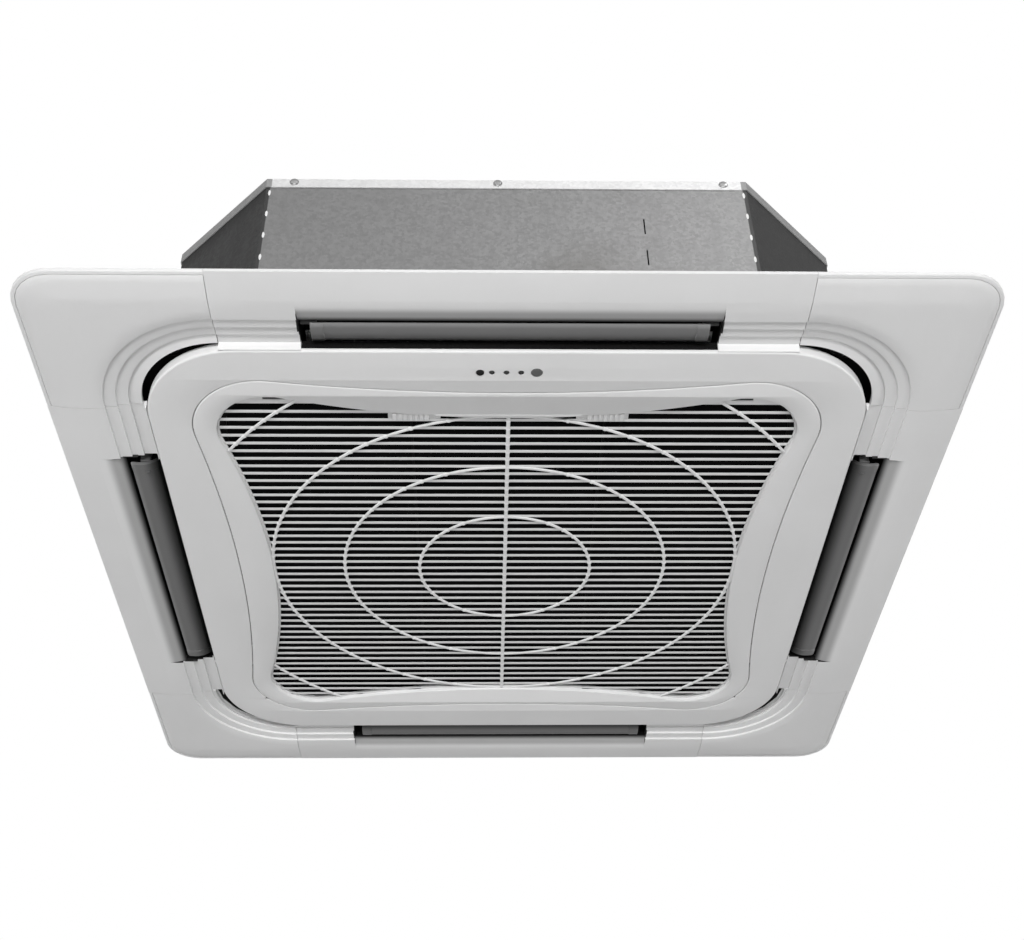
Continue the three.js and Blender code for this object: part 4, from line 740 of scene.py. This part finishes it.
def merged_copy(solid):
    """A copy of a solid's mesh with its loose triangles joined at their corners."""
    joined = bmesh.new()
    joined.from_mesh(solid.data)
    bmesh.ops.remove_doubles(joined, verts=joined.verts, dist=COPY_JOIN * MM)
    mesh = bpy.data.meshes.new(solid.name + "_copy")
    joined.to_mesh(mesh)
    joined.free()
    return mesh


def carved(mesh, boxes):
    """The mesh less some boxes, by an exact boolean that is applied at once."""
    target = bpy.data.objects.new("target", mesh)
    skin = Skin()
    for low, high in boxes:
        skin.block(low, high, 0.3)
    tool = bpy.data.objects.new("tool", skin.to_mesh("tool"))
    for helper in (target, tool):
        bpy.context.scene.collection.objects.link(helper)
    boolean = target.modifiers.new("cut", "BOOLEAN")
    boolean.object, boolean.operation, boolean.solver = tool, "DIFFERENCE", "EXACT"
    graph = bpy.context.evaluated_depsgraph_get()
    result = bpy.data.meshes.new_from_object(target.evaluated_get(graph))
    for helper in (target, tool):
        bpy.data.objects.remove(helper)
    return result


# %% Shell and lips
lip_boxes = []
for quarter in range(4):
    low, high = between(turned_by(-OUTLET_HALF, LIP_CUT_TO, quarter),
                        turned_by(OUTLET_HALF, LIP_FROM, quarter))
    lip_boxes.append(((*low, FACE - 1), (*high, LIP_CUT_TOP)))
shell = carved(merged_copy(solids["panel_frame"]), lip_boxes)
shell.materials.clear()
place("panel_shell", skin_of(shell).to_mesh("panel_shell", sharp=12), panel_painted_shade, "housing",
      ["panel_frame"])
for quarter, side in enumerate(SIDES):
    skin = Skin()
    skin.sweep([[(x, y, z) for y, z in lip_front + lip_back] for x in (-OUTLET_HALF, OUTLET_HALF)])
    for sign in (-1, 1):
        skin.block(*between((sign * (OUTLET_HALF + STOP_FROM), 414, -4.8),
                            (sign * (OUTLET_HALF + STOP_TO), 431, 4.2)), 0.2)
    place("outlet_lip_" + side, skin.turn(quarter).to_mesh("outlet_lip_" + side), lip_white,
          "housing", slot="panel_frame")

# %% [markdown]
# ## Centre frame
# The centre frame is a tray with a waisted opening. Its edges are rounded, so the outline is
# repeated with small offsets at rising heights. The display row needs five round holes. Two notches
# let the grille's hinge knuckles pass, and tabs on the back carry the tray and the display board.

# %% Centre frame
FRAME_HALF = 389.3
FRAME_RADIUS = 107
FRAME_EDGE = 2.5
GRILLE = (264, 80, 7.6)  # centre of the lobes, their radius and their flare in degrees
OPENING = (259, 60, 14.5)
GRILLE_GAP = 0.8
NOTCH = (313.5, 308, FACE - 1), (333, 313.3, -4)
TAB = (223, 385.9), (292, 399.9)
TAB_UP = (4.2, 6.9)
HINGE_EAR = (332.9, 303, -6), (343.4, 313, -0.8)
BOARD_POST_X, BOARD_POST_Y, BOARD_POST_HALF = 44, 11, 2
DISPLAY_Y = -358
button_at, window_at = -31, 28.5
lights_at = (-18.7, -3.3, 12.1)
hole_radius = {button_at: 4.4, window_at: 6.4, **{x: 3.2 for x in lights_at}}


def frame_outline(grow):
    return rounded_square(FRAME_HALF + grow, FRAME_RADIUS + grow)


def grille_outline(grow):
    return waisted_square(GRILLE[0], GRILLE[1] + grow, GRILLE[2])


def opening_outline(grow):
    return waisted_square(OPENING[0], OPENING[1] + grow, OPENING[2])


skin = Skin()
edge_round = [(FRAME_EDGE * (math.sin(a) - 1), FACE + FRAME_EDGE * (1 - math.cos(a)))
              for a in (QUARTER * step / 8 for step in range(9))]
outside = [skin.level(frame_outline(grow), z)
           for grow, z in (*edge_round, (0, 4), (-3, 4), (-3, -5))]
inside = [skin.level(grille_outline(GRILLE_GAP + grow), z)
          for grow, z in ((1.0, FACE), (0.4, -7.85), (0, -7.3), (0, -5))]
holes = [[skin.level(circle(x, DISPLAY_Y, radius + grow), z)
          for grow, z in ((0.3, FACE), (0, -7.7), (0, -5))] for x, radius in hole_radius.items()]
for rings in (outside, inside, *holes):
    skin.pile(rings)
skin.cap(outside[0], inside[0], *(rings[0] for rings in holes))
skin.cap(outside[-1], inside[-1], *(rings[-1] for rings in holes))


def mirrored_box(corners, sign):
    """A box given by two corners, or its twin on the other side of X = 0."""
    return between(*((sign * x, *rest) for x, *rest in corners))


skin = skin_of(carved(skin.to_mesh("tray"), [mirrored_box(NOTCH, sign) for sign in (-1, 1)]))
for quarter in range(4):
    for sign in (-1, 1):
        low, high = between(*(turned_by(sign * x, y, quarter) for x, y in TAB))
        skin.block((*low, TAB_UP[0]), (*high, TAB_UP[1]))
for sign in (-1, 1):
    skin.block(*mirrored_box(HINGE_EAR, sign))
    for y in (DISPLAY_Y - BOARD_POST_Y, DISPLAY_Y + BOARD_POST_Y):
        x = sign * BOARD_POST_X
        skin.block((x - BOARD_POST_HALF, y - BOARD_POST_HALF, -5.5),
                   (x + BOARD_POST_HALF, y + BOARD_POST_HALF, 0.2), 0.2)
place("centre_tray", skin.to_mesh("centre_tray"), panel_white, "housing", ["centre_frame"])

# %% [markdown]
# ## Intake grille
# The border is a flat plate with a waisted edge outside and a deeper waist inside, and a collar
# stands behind it. It is cut away over the latch knobs. Rings and a spine lie across the opening in
# front of the slats. They are bars that follow their curve only where it runs inside the opening.

# %% Bars of the grille
SLAT_FRONT_Z = -3.2
BAR_FRONT, BAR_BACK = -5.3, -3.5
RING_RADII = (105.6, 198, 285.4, 384.7)
RING_POINTS, RING_WIDTH, SPINE_WIDTH = 360, 3.2, 4.2
BAR_SECTION = [(-1, BAR_BACK), (-1, BAR_FRONT + 0.5), (-0.7, BAR_FRONT), (0.7, BAR_FRONT),
               (1, BAR_FRONT + 0.5), (1, BAR_BACK)]
SLAT_PITCH = 13.23
KNOB_X, KNOB_Y = 106, -286.5
POCKET = (79, KNOB_Y - 6, FACE - 1), (127, KNOB_Y + 6, -3.3)
KNUCKLE = (314, 303, -6), (328, 313, -0.8)


def inside_of(outline, x, y):
    """Even-odd test of a point against a closed outline."""
    result = False
    for (x1, y1), (x2, y2) in zip(outline, outline[1:] + outline[:1]):
        if (y1 > y) != (y2 > y) and x < (x2 - x1) * (y - y1) / (y2 - y1) + x1:
            result = not result
    return result


def bar_along(skin, path, width, closed=False):
    """A flat bar with softened front edges along points in the plane."""
    count = len(path)
    sections = []
    for i, (x, y) in enumerate(path):
        before = path[i - 1] if closed or i else path[i]
        after = path[(i + 1) % count] if closed or i < count - 1 else path[i]
        along = Vector((after[0] - before[0], after[1] - before[1])).normalized()
        across = Vector((-along.y, along.x)) * width / 2
        sections.append([(x + across.x * side, y + across.y * side, z) for side, z in BAR_SECTION])
    skin.sweep(sections, closed)


# %% Border, rings and spine
skin = Skin()
border = [skin.level(grille_outline(grow), z)
          for grow, z in ((-2.2, FACE), (-1.0, -7.8), (-0.25, -7.2), (0, -6.3), (0, -5))]
collar = [skin.level(opening_outline(grow), z)
          for grow, z in ((2.4, -5), (2.4, 2.2), (0, 2.2), (0, -6.8), (0.35, -7.6), (1.1, FACE))]
skin.pile(border)
skin.pile(collar)
skin.cap(border[-1], collar[0])
skin.cap(border[0], collar[-1])
skin = skin_of(carved(skin.to_mesh("border"), [mirrored_box(POCKET, sign) for sign in (-1, 1)]))
bound = opening_outline(1.2)
for radius in RING_RADII:
    points = circle(0, 0, radius, RING_POINTS)
    shows = [inside_of(bound, x, y) for x, y in points]
    if all(shows):
        bar_along(skin, points, RING_WIDTH, closed=True)
        continue
    start = shows.index(False)
    run = []
    for i in range(start, start + RING_POINTS + 1):
        if shows[i % RING_POINTS]:
            run.append(points[i % RING_POINTS])
        elif run:
            bar_along(skin, run, RING_WIDTH)
            run = []
lobe_centre, lobe_radius, lobe_flare = OPENING[0], OPENING[1], math.radians(OPENING[2])
waist = (lobe_centre + lobe_centre / math.tan(lobe_flare)
         - (lobe_centre / math.sin(lobe_flare) - lobe_radius))
bar_along(skin, [(0, y) for y in (-waist - 1, 0, waist + 1)], SPINE_WIDTH)
for sign in (-1, 1):
    skin.block(*mirrored_box(KNUCKLE, sign))
place("grille_border", skin.to_mesh("grille_border"), grille_white, "grille", ["grille_frame"])

# %% [markdown]
# ## Slats by a rule
# Forty-odd slats differ only in where they start and end, so one bar is drawn once and a geometry
# tree puts it on a point for each slat and stretches it to the length stored there. The lengths
# come from cutting the opening's outline with the slat's line. The same tree with a round bead
# marks every place where a slat crosses a ring. The slats stop short of the near edge, where a
# filler plate with a slot closes each lobe and a strip lies behind each knob.

# %% Slats by a rule


def crossings(outline, y):
    """Sorted x of the places where a line at y cuts an outline."""
    found = []
    for (x1, y1), (x2, y2) in zip(outline, outline[1:] + outline[:1]):
        if (y1 > y) != (y2 > y):
            found.append(x1 + (x2 - x1) * (y - y1) / (y2 - y1))
    return sorted(found)


SPREAD_INPUTS = {"Seeds": "NodeSocketGeometry", "Stamp": "NodeSocketObject",
                 "Finish": "NodeSocketMaterial"}


def spread(name, stamp, points, material, scales=None):
    """Copies of a mesh on points, each scaled by its own vector, as one plain mesh."""
    seeds = bpy.data.meshes.new(name + "_seeds")
    seeds.from_pydata([[v * MM for v in p] for p in points], [], [])
    scale = seeds.attributes.new("stretch", "FLOAT_VECTOR", "POINT")
    scales = scales or [(1, 1, 1)] * len(points)
    scale.data.foreach_set("vector", [v for row in scales for v in row])
    stamp_object = bpy.data.objects.new(name + "_stamp", stamp)
    tree = bpy.data.node_groups.new(name + "_rule", "GeometryNodeTree")
    for label, kind in SPREAD_INPUTS.items():
        tree.interface.new_socket(label, in_out="INPUT", socket_type=kind)
    tree.interface.new_socket("Result", in_out="OUTPUT", socket_type="NodeSocketGeometry")
    rule = Nodes(tree)
    inputs = tree.nodes.new("NodeGroupInput")
    socket = {label: Wire(rule, inputs.outputs[label]) for label in SPREAD_INPUTS}
    shape = rule.add("GeometryNodeObjectInfo", None, {"Object": socket["Stamp"]}, out="Geometry")
    stretch = rule.add("GeometryNodeInputNamedAttribute", {"data_type": "FLOAT_VECTOR"},
                       {"Name": "stretch"})
    copies = rule.add("GeometryNodeInstanceOnPoints", None,
                      {"Points": socket["Seeds"], "Instance": shape, "Scale": stretch})
    real = rule.add("GeometryNodeRealizeInstances", None, {"Geometry": copies})
    dressed = rule.add("GeometryNodeSetMaterial", None,
                       {"Geometry": real, "Material": socket["Finish"]})
    output = tree.nodes.new("NodeGroupOutput")
    tree.links.new(dressed.socket, output.inputs["Result"])
    carrier = bpy.data.objects.new(name + "_carrier", seeds)
    for helper in (carrier, stamp_object):
        bpy.context.scene.collection.objects.link(helper)
    modifier = carrier.modifiers.new(name, "NODES")
    modifier.node_group = tree
    for item in tree.interface.items_tree:
        if item.name == "Stamp":
            modifier[item.identifier] = stamp_object
        if item.name == "Finish":
            modifier[item.identifier] = material
    graph = bpy.context.evaluated_depsgraph_get()
    result = bpy.data.meshes.new_from_object(carrier.evaluated_get(graph))
    for helper in (carrier, stamp_object):
        bpy.data.objects.remove(helper)
    return result


# %% The slats
FILLER_FROM = -303
FILLER_SLOT, SLOT_HALF = (252, -312), (12, 1.7)
KNOB_STRIP = (74, -299, -3.25), (131, -280.5, -1.85)
SLATS_EACH_WAY = 24
SLAT_TOP = SLAT_FRONT_Z + 1.4
skin = Skin()
section = [(-1.0, SLAT_TOP), (-2.2, SLAT_FRONT_Z + 0.35), (-1.9, SLAT_FRONT_Z), (1.9, SLAT_FRONT_Z),
           (2.2, SLAT_FRONT_Z + 0.35), (1.0, SLAT_TOP)]
skin.sweep([[(x, y, z) for y, z in section] for x in (-1 / MM, 1 / MM)])  # a metre each way
slat_stamp = skin.to_mesh("slat_stamp")
rim_outline = opening_outline(-1.6)
spots, stretches, beads = [], [], []
for number in range(-SLATS_EACH_WAY, SLATS_EACH_WAY + 1):
    y = number * SLAT_PITCH
    if y < FILLER_FROM:
        continue
    ends = crossings(rim_outline, y)
    for first, last in zip(ends[::2], ends[1::2]):
        spots.append(((first + last) / 2, y, 0))
        stretches.append(((last - first) / 2 * MM, 1, 1))
        for radius in RING_RADII:
            if radius > abs(y):
                x = math.sqrt(radius ** 2 - y ** 2)
                beads += [(s * x, y, 0) for s in (-1, 1) if first < s * x < last]
        if first < 0 < last:
            beads.append((0, y, 0))
slats = spread("slats", slat_stamp, spots, slat_white, stretches)
print("slats:", len(spots), "beads:", len(beads))

# %% Rim, filler plates and beads
skin = skin_of(slats)
rim = [skin.level(opening_outline(grow), z) for grow, z in
       ((-0.3, SLAT_FRONT_Z), (-2.3, SLAT_FRONT_Z), (-2.3, SLAT_TOP), (-0.3, SLAT_TOP))]
skin.pile(rim + rim[:1])
lobe_edge = opening_outline(-0.6)
for sign in (-1, 1):
    lobe = [(x, y) for x, y in lobe_edge if y < FILLER_FROM and x * sign > 0]
    lobe.sort(key=lambda p: math.atan2(p[1] - FILLER_FROM, p[0] - sign * OPENING[0]))
    slot = [(sign * FILLER_SLOT[0] + SLOT_HALF[0] * a, FILLER_SLOT[1] + SLOT_HALF[1] * b)
            for a, b in ((-1, -1), (1, -1), (1, 1), (-1, 1))]
    levels = SLAT_FRONT_Z + 0.05, SLAT_TOP
    plate, hole = ([skin.level(line, z) for z in levels] for line in (lobe, slot))
    skin.pile(plate)
    skin.pile(hole)
    for side in (0, 1):
        skin.cap(plate[side], hole[side])
    skin.block(*mirrored_box(KNOB_STRIP, sign), 0.2)
slat_mesh = skin.to_mesh("intake_slats")
slat_mesh.materials.clear()
place("intake_slats", slat_mesh, slat_white, "grille", ["grille_slats"])

BEAD = (2.9, BAR_BACK + 0.1), (2.7, BAR_FRONT + 0.4), (1.6, BAR_FRONT - 0.1)
skin = Skin()
turned(skin, BEAD, 0, 0, 12)
bead_mesh = spread("beads", skin.to_mesh("bead_stamp"), beads, rib_white)
place("crossing_beads", bead_mesh, rib_white, "grille", slot="grille_frame")

# %% [markdown]
# ## Latch knobs
# A knob is a small ribbed slider. Its profile with six grooves is drawn from the side and pushed
# through, and the long edges are softened for the thumb. A stem carries it on the bolt behind.

# %% Latch knobs
KNOB_LENGTH, KNOB_WIDTH, KNOB_BREAK = 40, 11, 0.6
KNOB_BACK, KNOB_FRONT = -3.6, -7.2
GROOVES, GROOVE_FLOOR = 6, -6.1
STEM = (KNOB_X - 3, KNOB_Y - 3, -4), (KNOB_X + 3, KNOB_Y + 3, 0)
BOLT = (KNOB_X - 6, -325.5, -1), (KNOB_X + 6, KNOB_Y + 3, 1)
across, along = KNOB_WIDTH / 2, KNOB_LENGTH / 2
for sign, side in ((-1, "left"), (1, "right")):
    pitch = KNOB_LENGTH / (GROOVES + 1)
    profile = [(-along, KNOB_BACK), (-along, KNOB_FRONT + KNOB_BREAK),
               (KNOB_BREAK - along, KNOB_FRONT)]
    for groove in range(GROOVES):
        at = -along + (groove + 1) * pitch
        profile += [(at - 1.3, KNOB_FRONT), (at - 0.9, GROOVE_FLOOR),
                    (at + 0.9, GROOVE_FLOOR), (at + 1.3, KNOB_FRONT)]
    profile += [(along - KNOB_BREAK, KNOB_FRONT), (along, KNOB_FRONT + KNOB_BREAK),
                (along, KNOB_BACK)]
    skin = Skin()
    skin.sweep([[(sign * KNOB_X + x, KNOB_Y + y, max(z, KNOB_FRONT + lift)) for x, z in profile]
                for y, lift in ((-across, KNOB_BREAK), (KNOB_BREAK - across, 0),
                                (across - KNOB_BREAK, 0), (across, KNOB_BREAK))])
    skin.block(*mirrored_box(STEM, sign))
    skin.block(*mirrored_box(BOLT, sign))
    place("knob_" + side, skin.to_mesh("knob_" + side), knob_grey, "latch_" + side,
          ["grille_latch_" + side])

# %% [markdown]
# ## Louvres
# Each louvre is a cambered blade with thicker end blocks, and it turns on stubs carried by arms.
# The section is one quadratic curve given a thickness, and the same blade serves all four sides.

# %% Section of a louvre
EDGE, CONTROL, TIP = Vector((424.8, -3.1)), Vector((403.6, -7.7)), Vector((393.0, 4.9))
BLADE_WALL, BLADE_HALF = 2.4, 202
END_FROM, END_TO = 190, 203  # the thick end blocks
PIVOT = (409, 14.5)
ARM_FROM, ARM_RADIUS = 199, 5.5
STUB_RADIUS, STUB_TO = 2.5, 225.8
HUB_AT, HUB = (407.5, -2.6), ((3.4, 0.0), (3.4, 0.5), (2.9, 0.9))


def blade_section(below, above, steps=18):
    """The curve thickened by two distances, with rounded edges at both ends."""
    sides = [[], []]
    for i in range(steps + 1):
        t = i / steps
        at = EDGE * (1 - t) ** 2 + CONTROL * 2 * t * (1 - t) + TIP * t ** 2
        along = (CONTROL - EDGE) * 2 * (1 - t) + (TIP - CONTROL) * 2 * t
        normal = Vector((along.y, -along.x)).normalized()
        thin = 0.45 if i in (0, steps) else 1
        middle = (above - below) / 2
        half = (above + below) / 2 * thin
        sides[0].append(at + normal * (middle + half))
        sides[1].append(at + normal * (middle - half))
    return [tuple(p) for p in sides[0] + sides[1][::-1]]


def pushed(skin, rings):
    """A solid along X through sections, each given as its x and its (y, z) points."""
    skin.sweep([[(x, y, z) for y, z in ring] for x, ring in rings])


blade = blade_section(0, BLADE_WALL)
thick, thin = blade_section(0.8, BLADE_WALL + 0.8), blade_section(0.4, BLADE_WALL + 0.4)
end_block = ((END_TO, thin), (END_TO - 0.5, thick), (END_FROM + 0.5, thick), (END_FROM, thin))
arm = [(403.5, 0.5), (414.5, 0.5)] + arc(*PIVOT, ARM_RADIUS, 0, math.pi, 14)
stub = circle(*PIVOT, STUB_RADIUS, 20)
print("points round the blade:", len(blade))

# %% The four louvres
for quarter, side in enumerate(SIDES):
    skin = Skin()
    pushed(skin, [(x, blade) for x in (-BLADE_HALF, BLADE_HALF)])
    for sign in (-1, 1):
        pushed(skin, [(sign * x, ring) for x, ring in end_block])
        pushed(skin, [(sign * x, arm) for x in (ARM_FROM, END_TO)])
        pushed(skin, [(sign * x, stub) for x in (BLADE_HALF, STUB_TO)])
        pushed(skin, [(sign * (END_FROM - depth), circle(*HUB_AT, radius, 20))
                      for radius, depth in HUB])
    place("louvre_blade_" + side, skin.turn(quarter).to_mesh("louvre_blade_" + side), louvre_grey,
          "louvre_" + side, ["louvre_" + side])

# %% [markdown]
# ## Display row
# A push button, three lenses and the receiver's window are small turned parts in the holes of the
# centre frame. Their edges are broken so that each shows a thin highlight.

# %% Display row
BUTTON = ((3.2, -8.8), (3.7, -8.65), (4, -8.3), (4, -4.7), (5.5, -4.7), (5.5, -3.2), (4, -3.2),
          (4, -2.5))
LENS = (2.1, -8.0), (2.6, -7.85), (2.8, -7.5), (2.8, 0.2)
WINDOW = (3.4, -8.3), (4.8, -8.25), (5.6, -8.05), (6, -7.6), (6, 0.2)
row = [("push_button", BUTTON, button_at, button_black, "button", "emergency_button")]
row += [(f"lens_{number}", LENS, x, light_smoke, "housing", f"status_light_{number}")
        for number, x in enumerate(lights_at, 1)]
row += [("receiver_lens", WINDOW, window_at, window_smoke, "housing", "receiver_window")]
for name, profile, x, material, body, solid in row:
    skin = Skin()
    turned(skin, profile, x, DISPLAY_Y)
    place(name, skin.to_mesh(name), material, body, [solid])

# %% [markdown]
# ## Screws and spot welds
# The lid's lip is held by small screws, and the sheets are joined by rows of spot welds that show
# as pale dimples beside the folds. One screw head and one weld are modelled and spread on points.
# The points are laid out on the far side and turned to the others.

# %% Screws and spot welds


def facing_out(stamp, quarters):
    """The stamp, drawn looking down, stood up to face -Y and turned to a side."""
    mesh = stamp.copy()
    mesh.transform(Matrix.Rotation(quarters * QUARTER, 4, "Z") @ Matrix.Rotation(QUARTER, 4, "X"))
    return mesh


skin = Skin()
turned(skin, [(5.2, 0), (5.2, 1.0), (4.4, 1.9), (2.9, 2.3)], 0, 0, 24)
skin.block((-3.4, -0.6, 1.6), (3.4, 0.6, 2.32), 0.1)
screw_stamp = skin.to_mesh("screw_stamp")
LIP, SCREW_UP, SCREWS_AT = 391.5, 259, (-249, 11, 244)
for quarter, side in enumerate(SIDES):
    spots = [(*turned_by(x, LIP, quarter), SCREW_UP) for x in SCREWS_AT]
    screws = spread("screws_" + side, facing_out(screw_stamp, quarter + 2), spots, bright_steel)
    place("lip_screws_" + side, screws, bright_steel, "housing", slot="casing_steel")

skin = Skin()
turned(skin, [(1.5, -0.2), (1.5, 0.25), (0.8, 0.4)], 0, 0, 10)
weld_stamp = skin.to_mesh("weld_stamp")
SHEET, FOLD, WELD_STRETCH = 390, 271, 3.2
WELDS_UP = range(62, 243, 36)
for quarter, side in enumerate(SIDES):
    spots = [(*turned_by(x, SHEET, quarter), z) for x in (-FOLD, FOLD) for z in WELDS_UP]
    welds = spread("welds_" + side, facing_out(weld_stamp, quarter + 2), spots, weld_white,
                   [(1, 1, WELD_STRETCH)] * len(spots))
    place("spot_welds_" + side, welds, weld_white, "housing", slot="casing_steel")

# %% [markdown]
# ## Floor
# A pale floor far below keeps the object's soft shadow.

# %% Floor
floor_finish = Finish("floor")
floor_tone = floor_finish.mix(floor_finish.noise(0.8), linear(0.95), linear(0.93))
bpy.ops.mesh.primitive_plane_add(size=FLOOR_SIZE, location=(0, 0, -FLOOR_DROP))
floor = bpy.context.object
floor.name = "floor"
floor.data.materials.append(floor_finish.done(base_color=floor_tone, roughness=0.9))
